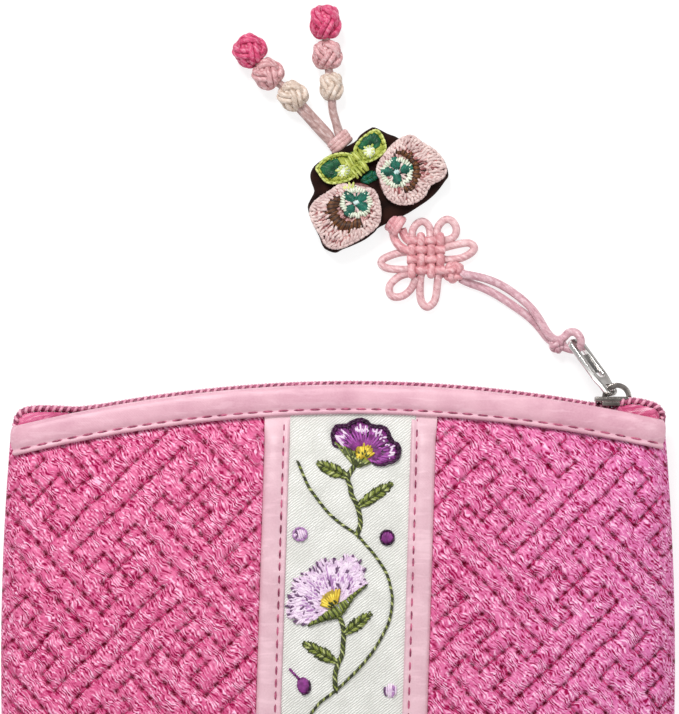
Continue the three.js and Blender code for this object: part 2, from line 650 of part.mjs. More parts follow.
function addFlowerKnot() {
  const [hx, hy] = WEAVE.half;
  const outline = roundedBox(new THREE.Shape(), -hx, hx, hy, WEAVE.round);
  const options = { depth: WEAVE.thick - 1, bevelThickness: 0.5, bevelSize: 0.5, bevelOffset: -0.5 };
  const body = new THREE.ExtrudeGeometry(outline, { ...options, bevelSegments: 1, curveSegments: 2 });
  body.translate(WEAVE.x, WEAVE.y, WEAVE.z - options.depth / 2);
  const strands = [];
  for (const petal of PETALS) {
    const low = (p) => point(...p, PETAL_Z);
    const high = (p) => point(...p, WEAVE.z);
    const path = [high(petal.out), ...petal.loop.map(low), high(petal.back)];
    strands.push(tube(path, 13));
  }
  for (const cord of CORNER_CORDS) {
    strands.push(tube(cord.map((p) => point(...p)), 4));
  }
  addPiece("flower_knot", joined(solidFrom(body), ...strands), "cord");
  addPiece("flower_upper_knot", knotBall(UPPER_KNOT), "cord");
}

// An outline in the butterfly's axes as a closed shape on the surface
function butterflyShape(rows, divisions) {
  const heading = radians(BUTTERFLY.heading);
  const [headX, headY] = [Math.cos(heading), Math.sin(heading)];
  const flat = rows.map(({ across, ahead }) =>
    point(
      BUTTERFLY.x + across * headY + ahead * headX,
      BUTTERFLY.y - across * headX + ahead * headY,
      0,
    ),
  );
  const curve = new THREE.CatmullRomCurve3(flat, true, "centripetal");
  const around = curve.getPoints(divisions).slice(0, -1);
  return new THREE.Shape(around.map((p) => new THREE.Vector2(p.x, p.y)));
}

const mirrorRows = (rows) => rows.map(({ across, ahead }) => ({ across: -across, ahead })).reverse();

// A stuffed shape: straight sides between two rounded faces
function stuffed(shape, z0, height, rim, segments) {
  const bevel = { bevelThickness: rim, bevelSize: rim, bevelOffset: -rim, bevelSegments: segments };
  const geometry = new THREE.ExtrudeGeometry(shape, { depth: height - 2 * rim, curveSegments: 1, ...bevel });
  return solidFrom(geometry.translate(0, 0, z0 + rim));
}

function addButterfly() {
  const padRows = [...PAD_HALF, PAD_TAIL, ...mirrorRows(PAD_HALF.slice(1))];
  const pad = stuffed(butterflyShape(padRows, 69), BUTTERFLY.lift, BUTTERFLY.pad, BUTTERFLY.rim, 2);
  addPiece("butterfly_pad", pad, "felt");
  const wingZ = BUTTERFLY.lift + BUTTERFLY.pad + GAP;
  const wings = [
    ["butterfly_lower_wing", LOWER_WING, 30, "wingPink"],
    ["butterfly_upper_wing", UPPER_WING, 21, "wingGreen"],
  ];
  for (const [name, rows, divisions, finish] of wings) {
    for (const [side, outline] of [["right", rows], ["left", mirrorRows(rows)]]) {
      const shape = butterflyShape(outline, divisions);
      const wing = stuffed(shape, wingZ, BUTTERFLY.wing, BUTTERFLY.wing / 3, 1);
      addPiece(`${name}_${side}`, wing, finish);
    }
  }
}

function addAntennae() {
  addPiece("head_knot", knotBall(HEAD_KNOT), "cord");
  for (const [side, { path, flat, turn, buds }] of Object.entries(ANTENNAE)) {
    const [across, high] = flat ? [STEM_WIDTH, CORD_D] : [CORD_D, STEM_WIDTH];
    addPiece(`antenna_stem_${side}`, tube(path.map((p) => point(...p)), 5, across, high), "cord");
    for (const { tint, x, y, r } of buds) {
      addPiece(`bud_${side}_${tint}`, knotBall({ x, y, z: r[2] + 0.05, r, turn }), tint);
    }
  }
}

addFront();
addBack();
addBinding("binding_front", 1);
addBinding("binding_back", -1);
addZip();
addSlider();
addPullTab();
addLoopCord();
addFlowerKnot();
addButterfly();
addAntennae();

export default purse;
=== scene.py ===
# Looks of the embroidered coin purse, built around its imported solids.
# Lengths are millimetres until a mesh is made. X runs along the zip, +Y to the zip, +Z up.
import math
import random

import bmesh
import bpy
import numpy as np
from mathutils import Matrix, Vector, noise


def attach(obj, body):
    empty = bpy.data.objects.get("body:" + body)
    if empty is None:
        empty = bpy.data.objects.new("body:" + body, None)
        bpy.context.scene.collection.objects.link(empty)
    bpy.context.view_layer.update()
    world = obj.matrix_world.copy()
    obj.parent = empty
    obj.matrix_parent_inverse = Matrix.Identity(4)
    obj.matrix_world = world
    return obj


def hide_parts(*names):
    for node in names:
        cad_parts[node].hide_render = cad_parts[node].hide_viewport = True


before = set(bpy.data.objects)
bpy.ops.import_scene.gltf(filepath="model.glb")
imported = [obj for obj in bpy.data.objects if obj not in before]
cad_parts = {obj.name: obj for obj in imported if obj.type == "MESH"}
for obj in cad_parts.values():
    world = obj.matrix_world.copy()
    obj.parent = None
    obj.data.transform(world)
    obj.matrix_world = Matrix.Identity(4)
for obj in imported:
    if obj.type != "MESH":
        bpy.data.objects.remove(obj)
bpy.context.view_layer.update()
MM = 0.001
chance = random.Random(7)

# Purse outline and section, as in the solids
HALF_WIDTH = 60.8
WIDEST_Y = -5
SIDE_BOW = 1.9
BOW_REACH = 43
BOTTOM_Y = -45
CORNER_R = 14
TOP_Y = 45.1
TOP_RADIUS = 245
TOP_TILT = 0.01
SEAM_Z = 5.45
SEAM_GAP = 0.12
EDGE_ROUND = 2.2
BACK_EDGE = 9
BACK_RISE = 1.3
LOWEST_Z = 0.02
PRESSED_T = 1
PRESSED_TO = 5.6
PRESSED_END = 10
WALL_TOP = 1.35
PROFILE_BELOW = [0, 5.5, 10, 22, 45, 70, 92]
PROFILE_CROWN = [9.65, 9.8, 11.6, 13.8, 15, 14.3, 13]
PROFILE_EDGE = [6, 7, 10, 14, 17, 16, 14]
PANEL_X = 1.1
PANEL_LEAN = 0.031
PANEL_HALF = 10.9
TRIM_EDGE = 15.5
BINDING_H = 5.35
BINDING_END = 0.985

# Zip and pull
CHAIN_PROUD = 0.6
CHAIN_END = 58.8
PUFF_FROM_END = [0, 0.5, 1.4, 3, 5, 6.2, 8.6, 12, 17]
PUFF_LEFT = [0.2, 1.2, 2.0, 2.3, 2.1, 1.8, 1.2, 0.35, 0]
PUFF_RIGHT = [0.0, 1.2, 2.35, 2.76, 2.4, 2.1, 1.2, 0.1, 0]
COIL_PITCH = 1.27
SLIDER_X = 49.3
SLIDER_L = 6
SLIDER_W = 5.8
PLATE_BOTTOM = 41.9
PLATE_TOP = 42.9
BRIDGE_X = SLIDER_X + 1

# Quilting: a fret of stitched lines on a slanting grid of these two steps
FRET_ORIGIN = np.array([-39.4, 12.0])
FRET_STEP_A = np.array([2.77, 2.65])
FRET_STEP_B = np.array([2.66, -2.83])
FRET_UNIT = 3.86
FRET_REPEAT = 5
FRET_PATHS = [
    [(0, 0), (1, 0), (1, -1), (2, -1), (2, 6), (1, 6), (1, 5), (0, 5)],
    [(0, 0), (0, 1), (1, 1), (1, 2), (-6, 2), (-6, 1), (-5, 1), (-5, 0)],
]
QUILT_STITCH = 2.45
QUILT_T = 2.4
QUILT_SINK = 0.5
QUILT_PUFF = 0.8


def wobble(size):
    return chance.uniform(-size, size)


# Shape of the purse


def smooth_table(at, stops, values):
    """A smooth curve through values at stops"""
    stops = np.array(stops, float)
    values = np.array(values, float)
    last = len(stops) - 1
    index = np.arange(last + 1)
    before = np.maximum(index - 1, 0)
    after = np.minimum(index + 1, last)
    slope = (values[after] - values[before]) / (stops[after] - stops[before])
    at = np.clip(at, stops[0], stops[-1])
    i = np.clip(np.searchsorted(stops, at) - 1, 0, last - 1)
    span = stops[i + 1] - stops[i]
    t = (at - stops[i]) / span
    ease = t * t * (3 - 2 * t)
    bend = t * (1 - t) ** 2 * slope[i] + t * t * (t - 1) * slope[i + 1]
    return values[i] + (values[i + 1] - values[i]) * ease + span * bend


def ease_between(at, low, high):
    t = np.clip((at - low) / (high - low), 0, 1)
    return t * t * (3 - 2 * t)


def soft_noise(across, along, seed):
    """Smooth noise at every pair of places"""
    flat = [noise.noise((p, q, seed)) for p, q in zip(np.ravel(across), np.ravel(along))]
    return np.array(flat).reshape(np.shape(across))


def top_edge(x):
    return TOP_Y + TOP_TILT * x - x * x / (2 * TOP_RADIUS)


def bowed_half(y):
    return HALF_WIDTH - SIDE_BOW * ((y - WIDEST_Y) / BOW_REACH) ** 2


def half_width(y, inset=0.0):
    radius = CORNER_R - inset
    above = y - (BOTTOM_Y + inset)
    straight = bowed_half(y) - inset
    curved = np.sqrt(np.maximum(0, radius**2 - (radius - above) ** 2))
    return np.where(above >= radius, straight, straight - radius + curved)


def seam_distance(x, y, inset=0.0):
    """How far a point lies inside the side and bottom seams"""
    radius = CORNER_R - inset
    bottom = BOTTOM_Y + inset
    half = bowed_half(y) - inset
    corner_x = half - radius
    corner_y = bottom + radius
    in_corner = (np.abs(x) > corner_x) & (y < corner_y)
    rounded = radius - np.hypot(np.abs(x) - corner_x, y - corner_y)
    straight = np.minimum(half - np.abs(x), y - bottom)
    return np.where(in_corner, rounded, straight)


def edge_rise(distance, depth):
    left = 1 - np.clip(distance / depth, 0, 1)
    return (1 - left**EDGE_ROUND) ** (1 / EDGE_ROUND)


def pressing(below):
    """0 where the binding presses the wall flat, 1 where the wall is free"""
    return ease_between(below, PRESSED_TO, PRESSED_END)


def surface_z(side, x, y, inset=0.0):
    """Height of the front (side 1) or the back (side -1), or of a layer inset below it"""
    below = top_edge(x) - y
    rim = SEAM_Z + side * SEAM_GAP / 2
    distance = seam_distance(x, y, inset)
    if side > 0:
        crown = smooth_table(below, PROFILE_BELOW, PROFILE_CROWN) - inset
        depth = smooth_table(below, PROFILE_BELOW, PROFILE_EDGE) - inset / 2
        return rim + (crown - rim) * edge_rise(distance, depth)
    floor = BACK_RISE * (1 - pressing(below)) + inset
    return rim + (floor - rim) * edge_rise(distance, BACK_EDGE - inset / 2)


def panel_axis(y):
    return PANEL_X + PANEL_LEAN * y


def wall_points(side, left, right, across, up, thickness, sink=0.0):
    """Rows of points on a wall between a left and a right edge, from the bottom seam to the top"""
    v, c = np.meshgrid(up, across, indexing="ij")
    y = BOTTOM_Y + v * (TOP_Y - WALL_TOP - BOTTOM_Y)
    share = left(y) * (1 - c) + right(y) * c
    deep = sink + thickness
    x = share * HALF_WIDTH
    inset = np.full_like(x, deep)
    for _ in range(3):
        y = BOTTOM_Y + deep + v * (top_edge(x) - WALL_TOP - BOTTOM_Y - deep)
        pressed = pressing(top_edge(x) - y)
        thin = PRESSED_T if thickness > 0 else 0
        inset = sink * pressed + thin + (thickness - thin) * pressed
        x = share * half_width(y, inset)
    return np.stack([x, y, surface_z(side, x, y, inset)], -1)


def panel_edge(offset):
    return lambda y: (panel_axis(y) + offset) / half_width(y)


def side_seam(sign):
    return lambda y: np.full_like(y, sign)


# Meshes


def normals_of(points):
    down = np.gradient(points, axis=0)
    across = np.gradient(points, axis=1)
    normal = np.cross(across, down)
    return normal / np.maximum(np.linalg.norm(normal, axis=-1, keepdims=True), 1e-9)


def add_grid(bm, points):
    rows, columns = points.shape[:2]
    made = bmesh.ops.create_grid(bm, x_segments=columns - 1, y_segments=rows - 1, size=0.5)
    for vertex in made["verts"]:
        column = round((vertex.co.x + 0.5) * (columns - 1))
        row = round((vertex.co.y + 0.5) * (rows - 1))
        vertex.co = Vector(points[row, column] * MM)
    return made["verts"]


def in_scene(name, data):
    """An object made of some data and put in the scene"""
    made = bpy.data.objects.new(name, data)
    bpy.context.scene.collection.objects.link(made)
    return made


def finished(name, mesh, material, slot=None, solid=None):
    """A piece of the purse from a mesh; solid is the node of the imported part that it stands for"""
    piece = in_scene(name, mesh)
    mesh.shade_smooth()
    mesh.materials.clear()
    mesh.materials.append(material)
    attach(piece, "root")
    if solid:
        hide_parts(solid)
    return piece


def mesh_from(name, bm):
    mesh = bpy.data.meshes.new(name)
    bm.to_mesh(mesh)
    bm.free()
    return mesh


def wall_piece(name, outer, inner, material, slot, solid):
    """A closed wall of cloth between an outer and an inner face"""
    bm = bmesh.new()
    add_grid(bm, outer)
    add_grid(bm, inner)
    rims = [edge for edge in bm.edges if edge.is_boundary]
    bmesh.ops.bridge_loops(bm, edges=rims)
    bmesh.ops.recalc_face_normals(bm, faces=bm.faces)
    return finished(name, mesh_from(name, bm), material, slot, solid)


def smooth_path(points, per_span=8, closed=False):
    points = np.array(points, float)
    if closed:
        padded = np.vstack([points[-1:], points, points[:2]])
    else:
        padded = np.vstack([2 * points[0] - points[1], points, 2 * points[-1] - points[-2]])
    path = []
    for i in range(1, len(padded) - 2):
        before, start, end, after = padded[i - 1 : i + 3]
        for t in np.arange(per_span) / per_span:
            even = 2 * start + (end - before) * t
            square = (2 * before - 5 * start + 4 * end - after) * t**2
            cube = (3 * start - before - 3 * end + after) * t**3
            path.append((even + square + cube) / 2)
    if not closed:
        path.append(points[-1])
    return np.array(path)


def lengths_along(path):
    """How far each point of a path is from its start"""
    return np.concatenate([[0], np.cumsum(np.linalg.norm(np.diff(path, axis=0), axis=1))])


def line_length(line):
    return float(np.linalg.norm(np.diff(np.array(line, float), axis=0), axis=1).sum())


def add_line(data, path, closed):
    """One line of a curve, through the points of a path"""
    path = np.array(path)
    spline = data.splines.new("POLY")
    spline.points.add(len(path) - 1)
    placed = np.zeros((len(path), 4))
    placed[:, : path.shape[1]] = path * MM
    placed[:, 3] = 1
    spline.points.foreach_set("co", placed.ravel())
    spline.use_cyclic_u = closed
    return spline


def strand_curve(name, paths, thick, round_steps=1, closed=False, ends=1.0):
    """Strands of round section; ends is how thick each one is at its two ends"""
    data = bpy.data.curves.new(name, "CURVE")
    data.dimensions = "3D"
    data.bevel_depth = thick / 2 * MM
    data.bevel_resolution = round_steps
    data.use_fill_caps = not closed
    for path in paths:
        spline = add_line(data, path, closed)
        if ends < 1:
            spline.points[0].radius = ends
            spline.points[-1].radius = ends
    return data


def curve_mesh(data):
    """The mesh of a curve, whose own object is removed again"""
    holder = in_scene(data.name, data)
    ready = bpy.context.evaluated_depsgraph_get()
    mesh = bpy.data.meshes.new_from_object(holder.evaluated_get(ready))
    mesh.name = data.name
    bpy.data.objects.remove(holder)
    return mesh


def strand_piece(name, paths, thick, material, slot, solid=None, round_steps=1, closed=False, ends=1.0):
    data = strand_curve(name, paths, thick, round_steps, closed, ends)
    return finished(name, curve_mesh(data), material, slot, solid)


def flat_outline(name, loops, thick, rim, rim_steps=2):
    """A plate with rounded rims from flat closed loops, the first one outside and the others holes"""
    data = bpy.data.curves.new(name, "CURVE")
    data.dimensions = "2D"
    data.fill_mode = "BOTH"
    data.extrude = (thick / 2 - rim) * MM
    data.bevel_depth = rim * MM
    data.bevel_resolution = rim_steps
    data.offset = -rim * MM
    for loop in loops:
        add_line(data, loop, True)
    return curve_mesh(data)


def places_of(mesh):
    """Where the points of a mesh are, in millimetres"""
    places = np.empty(len(mesh.vertices) * 3)
    mesh.vertices.foreach_get("co", places)
    return places.reshape(-1, 3) / MM


def mark(mesh, name, values):
    """A number between 0 and 1 on each point of a mesh, for the painted shade and highlights of its colour
    """
    layer = mesh.attributes.new(name, "FLOAT", "POINT")
    layer.data.foreach_set("value", np.clip(values, 0, 1))


# Shader nodes


def add_node(tree, kind, **settings):
    made = tree.nodes.new(kind)
    for name, value in settings.items():
        setattr(made, name, value)
    return made


def feed(tree, socket, value):
    """Set a socket to a number, or link another socket to it"""
    if isinstance(value, (int, float)):
        socket.default_value = value
    else:
        tree.links.new(value, socket)


def maths(tree, operation, first, second=None):
    made = add_node(tree, "ShaderNodeMath", operation=operation)
    for socket, value in zip(made.inputs, (first, second)):
        if value is not None:
            feed(tree, socket, value)
    return made.outputs[0]


def noise_of(tree, place, scale, detail=1.0, roughness=0.5, distortion=0.0):
    """Noise over a place, as a number and as a colour"""
    made = add_node(tree, "ShaderNodeTexNoise", noise_dimensions="3D")
    labels = ("Vector", "Scale", "Detail", "Roughness", "Distortion")
    for label, value in zip(labels, (place, scale, detail, roughness, distortion)):
        feed(tree, made.inputs[label], value)
    return made.outputs


def spread_value(tree, value, low, high, least=0.0, most=1.0):
    """A value between low and high, spread from least to most"""
    made = add_node(tree, "ShaderNodeMapRange")
    labels = ("Value", "From Min", "From Max", "To Min", "To Max")
    for label, setting in zip(labels, (value, low, high, least, most)):
        feed(tree, made.inputs[label], setting)
    return made.outputs[0]


def parts_of(tree, place):
    """The X, Y and Z of a place"""
    made = add_node(tree, "ShaderNodeSeparateXYZ")
    tree.links.new(place, made.inputs[0])
    return made.outputs


def turned_place(tree, place, slant):
    """A place turned about Z"""
    made = add_node(tree, "ShaderNodeVectorRotate", rotation_type="Z_AXIS")
    tree.links.new(place, made.inputs["Vector"])
    tree.links.new(slant, made.inputs["Angle"])
    return made.outputs[0]


def stretched(tree, place, *scales):
    """A place whose X, Y and Z are scaled, each by its own number"""
    scale = add_node(tree, "ShaderNodeCombineXYZ")
    for socket, value in zip(scale.inputs, scales):
        tree.links.new(value, socket)
    made = add_node(tree, "ShaderNodeVectorMath", operation="MULTIPLY")
    tree.links.new(place, made.inputs[0])
    tree.links.new(scale.outputs[0], made.inputs[1])
    return made.outputs[0]


def strayed(tree, place, scale, reach):
    """Places moved about by noise, as far as reach to every side"""
    middled = add_node(tree, "ShaderNodeVectorMath", operation="SUBTRACT")
    middled.inputs[1].default_value = (0.5, 0.5, 0.5)
    tree.links.new(noise_of(tree, place, scale)["Color"], middled.inputs[0])
    moved = add_node(tree, "ShaderNodeVectorMath", operation="MULTIPLY_ADD")
    moved.inputs[1].default_value = (2 * reach, 2 * reach, 2 * reach)
    tree.links.new(middled.outputs[0], moved.inputs[0])
    tree.links.new(place, moved.inputs[2])
    return moved.outputs[0]


def effect_group(name, settings, outputs, places=("Vector",)):
    """A node group that turns places and settings into numbers"""
    tree = bpy.data.node_groups.new(name, "ShaderNodeTree")
    for label in places:
        tree.interface.new_socket(label, in_out="INPUT", socket_type="NodeSocketVector")
    for label, value in settings.items():
        socket = tree.interface.new_socket(label, in_out="INPUT", socket_type="NodeSocketFloat")
        socket.default_value = value
    for label in outputs:
        tree.interface.new_socket(label, in_out="OUTPUT", socket_type="NodeSocketFloat")
    source = tree.nodes.new("NodeGroupInput").outputs
    target = tree.nodes.new("NodeGroupOutput").inputs
    return tree, source, target


def make_crinkle():
    """Fine creases of satin that run along one slant, the streaks of painted light on them and the painted
    shade in their hollows
    """
    settings = {"Slant": 0.0, "Across": 1100.0, "Along": 330.0}
    tree, source, target = effect_group("satin crinkle", settings, ["Height", "Streak", "HollowShade"])
    place = turned_place(tree, source["Vector"], source["Slant"])
    place = stretched(tree, place, source["Along"], source["Across"], source["Across"])
    creases = noise_of(tree, place, 1, 2.5, 0.6, 0.6)["Fac"]
    tree.links.new(creases, target["Height"])
    tree.links.new(spread_value(tree, creases, 0.52, 0.64), target["Streak"])
    tree.links.new(spread_value(tree, creases, 0.46, 0.34), target["HollowShade"])
    return tree


def make_folds():
    """Short wavy folds side by side along one slant, strong in some patches, with painted highlights and
    painted shade; Count is folds in a metre
    """
    settings = {"Slant": 0.0, "Count": 2000.0}
    tree, source, target = effect_group("satin folds", settings, ["Height", "Streak", "HollowShade"])
    place = strayed(tree, source["Vector"], 330, 0.001)
    place = strayed(tree, place, 1300, 0.00032)
    place = turned_place(tree, place, source["Slant"])
    counts = [maths(tree, "MULTIPLY", source["Count"], share) for share in (0.5, 1.0, 0.6)]
    place = stretched(tree, place, *counts)
    folds = maths(tree, "SUBTRACT", noise_of(tree, place, 1, 1.5)["Fac"], 0.5)
    turns = maths(tree, "MULTIPLY", parts_of(tree, place)["Y"], 2 * math.pi)
    ridges = maths(tree, "MULTIPLY", maths(tree, "SINE", turns), 0.11)
    folds = maths(tree, "ADD", folds, ridges)
    patches = noise_of(tree, source["Vector"], 560, 3)["Fac"]
    strong = spread_value(tree, patches, 0.34, 0.66, 1.1, 2.4)
    height = maths(tree, "ADD", maths(tree, "MULTIPLY", folds, strong), 0.5)
    tree.links.new(height, target["Height"])
    tree.links.new(spread_value(tree, height, 0.56, 0.92), target["Streak"])
    tree.links.new(spread_value(tree, height, 0.44, 0.16), target["HollowShade"])
    return tree


def make_weave():
    """Threads over and under one another; Count is threads in a metre"""
    tree, source, target = effect_group("plain weave", {"Slant": 0.0, "Count": 2500.0}, ["Height"])
    place = parts_of(tree, turned_place(tree, source["Vector"], source["Slant"]))
    turns = maths(tree, "MULTIPLY", source["Count"], math.pi)
    warp = maths(tree, "SINE", maths(tree, "MULTIPLY", place["X"], turns))
    weft = maths(tree, "SINE", maths(tree, "MULTIPLY", place["Y"], turns))
    tree.links.new(maths(tree, "MULTIPLY", warp, weft), target["Height"])
    return tree


def make_twill():
    """Slanting ribs of twill, broken here and there; Count is ribs in a metre"""
    tree, source, target = effect_group("twill", {"Slant": 0.0, "Count": 2100.0}, ["Height"])
    place = parts_of(tree, turned_place(tree, source["Vector"], source["Slant"]))
    breaks = maths(tree, "MULTIPLY", noise_of(tree, source["Vector"], 1500)["Fac"], 5.0)
    turns = maths(tree, "MULTIPLY", source["Count"], 2 * math.pi)
    angle = maths(tree, "ADD", maths(tree, "MULTIPLY", place["Y"], turns), breaks)
    rib = maths(tree, "MULTIPLY", maths(tree, "SINE", angle), 0.5)
    tree.links.new(maths(tree, "ADD", rib, 0.5), target["Height"])
    return tree


def make_ply():
    """Plies twisted round a strand, from its map along and round it, with painted shade between them and an
    uneven tone
    """
    settings = {"Turns": 40.0, "Plies": 3.0}
    tree, source, target = effect_group("twisted ply", settings, ["Height", "PlyShadeAndTone"], ("Map", "Vector"))
    place = parts_of(tree, source["Map"])
    along = maths(tree, "MULTIPLY", place["X"], source["Turns"])
    around = maths(tree, "MULTIPLY", place["Y"], source["Plies"])
    angle = maths(tree, "MULTIPLY", maths(tree, "ADD", along, around), 2 * math.pi)
    wave = maths(tree, "ABSOLUTE", maths(tree, "SINE", angle))
    fuzz = maths(tree, "MULTIPLY", noise_of(tree, source["Vector"], 2600, 2)["Fac"], 0.35)
    tree.links.new(maths(tree, "ADD", wave, fuzz), target["Height"])
    # Painted shade between the plies, added to an uneven tone at random
    ply_shade = maths(tree, "MULTIPLY", wave, 0.15)
    uneven = maths(tree, "MULTIPLY", noise_of(tree, source["Vector"], 420, 2)["Fac"], 0.95)
    tree.links.new(maths(tree, "ADD", ply_shade, uneven), target["PlyShadeAndTone"])
    return tree


def make_fibre():
    """Fine hairs and uneven dye of thread, felt and tape"""
    settings = {"Fine": 3000.0, "Broad": 500.0}
    tree, source, target = effect_group("fibre", settings, ["Height", "Dye"])
    tree.links.new(noise_of(tree, source["Vector"], source["Fine"], 3)["Fac"], target["Height"])
    dye = noise_of(tree, source["Vector"], source["Broad"], 2)["Fac"]
    tree.links.new(spread_value(tree, dye, 0.35, 0.65), target["Dye"])
    return tree


CRINKLE = make_crinkle()
FOLDS = make_folds()
WEAVE = make_weave()
TWILL = make_twill()
PLY = make_ply()
FIBRE = make_fibre()


def linear(colour):
    """A display colour of 0 to 255 as the light that it stands for"""
    parts = [part / 255 for part in colour]
    return [part / 12.92 if part <= 0.04045 else ((part + 0.055) / 1.055) ** 2.4 for part in parts] + [1]


class Finish:
    """A material with its shader, its place on the piece and helpers for what feeds it"""

    def __init__(self, name, roughness=0.5, metallic=0.0, sheen=0.0, sheen_tint=None, specular=0.5):
        self.material = bpy.data.materials.new(f"{name}_look")
        self.material.use_nodes = True
        self.tree = self.material.node_tree
        self.shader = self.tree.nodes["Principled BSDF"]
        self.shader.inputs["Roughness"].default_value = roughness
        self.shader.inputs["Metallic"].default_value = metallic
        self.shader.inputs["Sheen Weight"].default_value = sheen
        self.shader.inputs["Sheen Roughness"].default_value = 0.4
        self.shader.inputs["Specular IOR Level"].default_value = specular
        if sheen_tint:
            self.shader.inputs["Sheen Tint"].default_value = linear(sheen_tint)
        self.place = self.tree.nodes.new("ShaderNodeTexCoord").outputs

    def effect(self, group, **values):
        made = add_node(self.tree, "ShaderNodeGroup", node_tree=group)
        if "Vector" in made.inputs:
            self.tree.links.new(self.place["Object"], made.inputs["Vector"])
        if "Map" in made.inputs:
            self.tree.links.new(self.place["UV"], made.inputs["Map"])
        for name, value in values.items():
            made.inputs[name].default_value = value
        return made.outputs

    def mix(self, mask, first, second, strength=1.0):
        """Colour between two display colours, or from a colour that is already mixed"""
        made = add_node(self.tree, "ShaderNodeMix", data_type="RGBA")
        share = maths(self.tree, "MULTIPLY", mask, strength)
        clamped = add_node(self.tree, "ShaderNodeClamp")
        self.tree.links.new(share, clamped.inputs[0])
        self.tree.links.new(clamped.outputs[0], made.inputs["Factor"])
        for socket, value in ((made.inputs[6], first), (made.inputs[7], second)):
            if isinstance(value, (tuple, list)):
                socket.default_value = linear(value)
            else:
                self.tree.links.new(value, socket)
        return made.outputs[2]

    def colour(self, source):
        self.tree.links.new(source, self.shader.inputs["Base Color"])

    def marked(self, name):
        """What is marked under a name on the points of the mesh"""
        return add_node(self.tree, "ShaderNodeAttribute", attribute_name=name).outputs["Fac"]

    def rough(self, source, low, high):
        spread = spread_value(self.tree, source, 0, 1, low, high)
        self.tree.links.new(spread, self.shader.inputs["Roughness"])

    def bumps(self, *layers):
        """Each layer is a height, its strength and its depth in millimetres"""
        below = None
        for height, strength, depth in layers:
            bump = add_node(self.tree, "ShaderNodeBump")
            bump.inputs["Strength"].default_value = strength
            bump.inputs["Distance"].default_value = depth * MM
            self.tree.links.new(height, bump.inputs["Height"])
            if below:
                self.tree.links.new(below, bump.inputs["Normal"])
            below = bump.outputs[0]
        self.tree.links.new(below, self.shader.inputs["Normal"])


FRET_SLANT = math.radians(46.7)


def make_quilted_satin():
    made = Finish("quilted_satin", roughness=0.4, specular=0.03)
    crease = made.effect(FOLDS, Slant=FRET_SLANT, Count=2050)
    dye = made.effect(FIBRE, Fine=2600, Broad=420)
    # Painted highlight: fold streaks, strongest on the crests of the padding, are mixed towards a
    # near-white glint
    crest = spread_value(made.tree, made.marked("crest"), 0, 1, 0.6, 1)
    glint = maths(made.tree, "MULTIPLY", crease["Streak"], crest)
    # Painted light: towards the right the satin is tinted lighter and bluer, as the light falls there
    to_right = parts_of(made.tree, made.place["Object"])["X"]
    painted_light_right = spread_value(made.tree, to_right, 0.005, 0.055)
    base = made.mix(dye["Dye"], (206, 86, 134), (222, 116, 158))
    light_tinted = made.mix(painted_light_right, base, (214, 118, 176), 0.7)
    lit = made.mix(glint, light_tinted, (255, 206, 232), 0.88)
    # Painted shade: the hollows of the folds are darkened to deep red
    shaded = made.mix(crease["HollowShade"], lit, (150, 12, 70))
    # Painted shade: the stitched grooves and stitch holes are darkened towards a deep red
    made.colour(made.mix(made.marked("groove"), shaded, (104, 0, 34)))
    made.rough(crease["Height"], 0.52, 0.32)
    made.bumps((crease["Height"], 0.8, 0.2), (dye["Height"], 0.25, 0.1))
    return made.material


def make_smooth_satin(name, light, deep):
    made = Finish(name, roughness=0.4, sheen=0.25, sheen_tint=(255, 225, 232), specular=0.42)
    crease = made.effect(CRINKLE, Across=900, Along=160)
    weave = made.effect(WEAVE, Count=4200)
    dye = made.effect(FIBRE, Fine=3000, Broad=140)
    base = made.mix(dye["Dye"], deep, light)
    grained = made.mix(dye["Height"], base, (250, 214, 224), 0.3)
    # Painted highlight: the crinkle streaks are mixed towards a pale pink
    made.colour(made.mix(crease["Streak"], grained, (250, 214, 224), 0.2))
    made.rough(dye["Height"], 0.34, 0.5)
    made.bumps((crease["Height"], 0.2, 0.1), (weave["Height"], 0.25, 0.02), (dye["Height"], 0.35, 0.05))
    return made.material


def make_white_satin():
    made = Finish("white_satin", roughness=0.5, sheen=0.2, specular=0.4)
    twill = made.effect(TWILL, Slant=-0.66, Count=2450)
    dye = made.effect(FIBRE, Fine=2600, Broad=260)
    base = made.mix(dye["Dye"], (224, 224, 218), (244, 244, 239))
    made.colour(made.mix(twill["Height"], (197, 196, 190), base))
    made.bumps((twill["Height"], 0.8, 0.1), (dye["Height"], 0.4, 0.08))
    return made.material


def make_thread(name, light, deep, roughness=0.42, specular=0.35):
    made = Finish(name, roughness=roughness, sheen=0.08, sheen_tint=light, specular=specular)
    fibre = made.effect(FIBRE, Fine=5200, Broad=900)
    made.colour(made.mix(fibre["Dye"], deep, light))
    made.bumps((fibre["Height"], 0.35, 0.05))
    return made.material


def make_cord(name, light, deep, turns, plies=2.0):
    made = Finish(name, roughness=0.42, sheen=0.3, sheen_tint=light, specular=0.5)
    ply = made.effect(PLY, Turns=turns, Plies=plies)
    crease = made.effect(CRINKLE, Slant=0.7, Across=1900, Along=700)
    base = made.mix(ply["PlyShadeAndTone"], deep, light)
    # Painted shade in the crinkle hollows and painted highlights on their streaks
    lined = made.mix(crease["HollowShade"], base, deep, 0.9)
    pale = tuple((channel + 255) / 2 for channel in light)
    made.colour(made.mix(crease["Streak"], lined, pale, 0.45))
    made.rough(ply["PlyShadeAndTone"], 0.5, 0.36)
    made.bumps((ply["Height"], 0.2, 0.05), (crease["Height"], 0.5, 0.16))
    return made.material


def make_felt():
    made = Finish("butterfly_ground", roughness=0.92, sheen=0.22, sheen_tint=(96, 70, 58), specular=0.16)
    fibre = made.effect(FIBRE, Fine=2300, Broad=380)
    made.colour(made.mix(fibre["Dye"], (22, 7, 5), (44, 21, 15)))
    made.bumps((fibre["Height"], 0.8, 0.15))
    return made.material


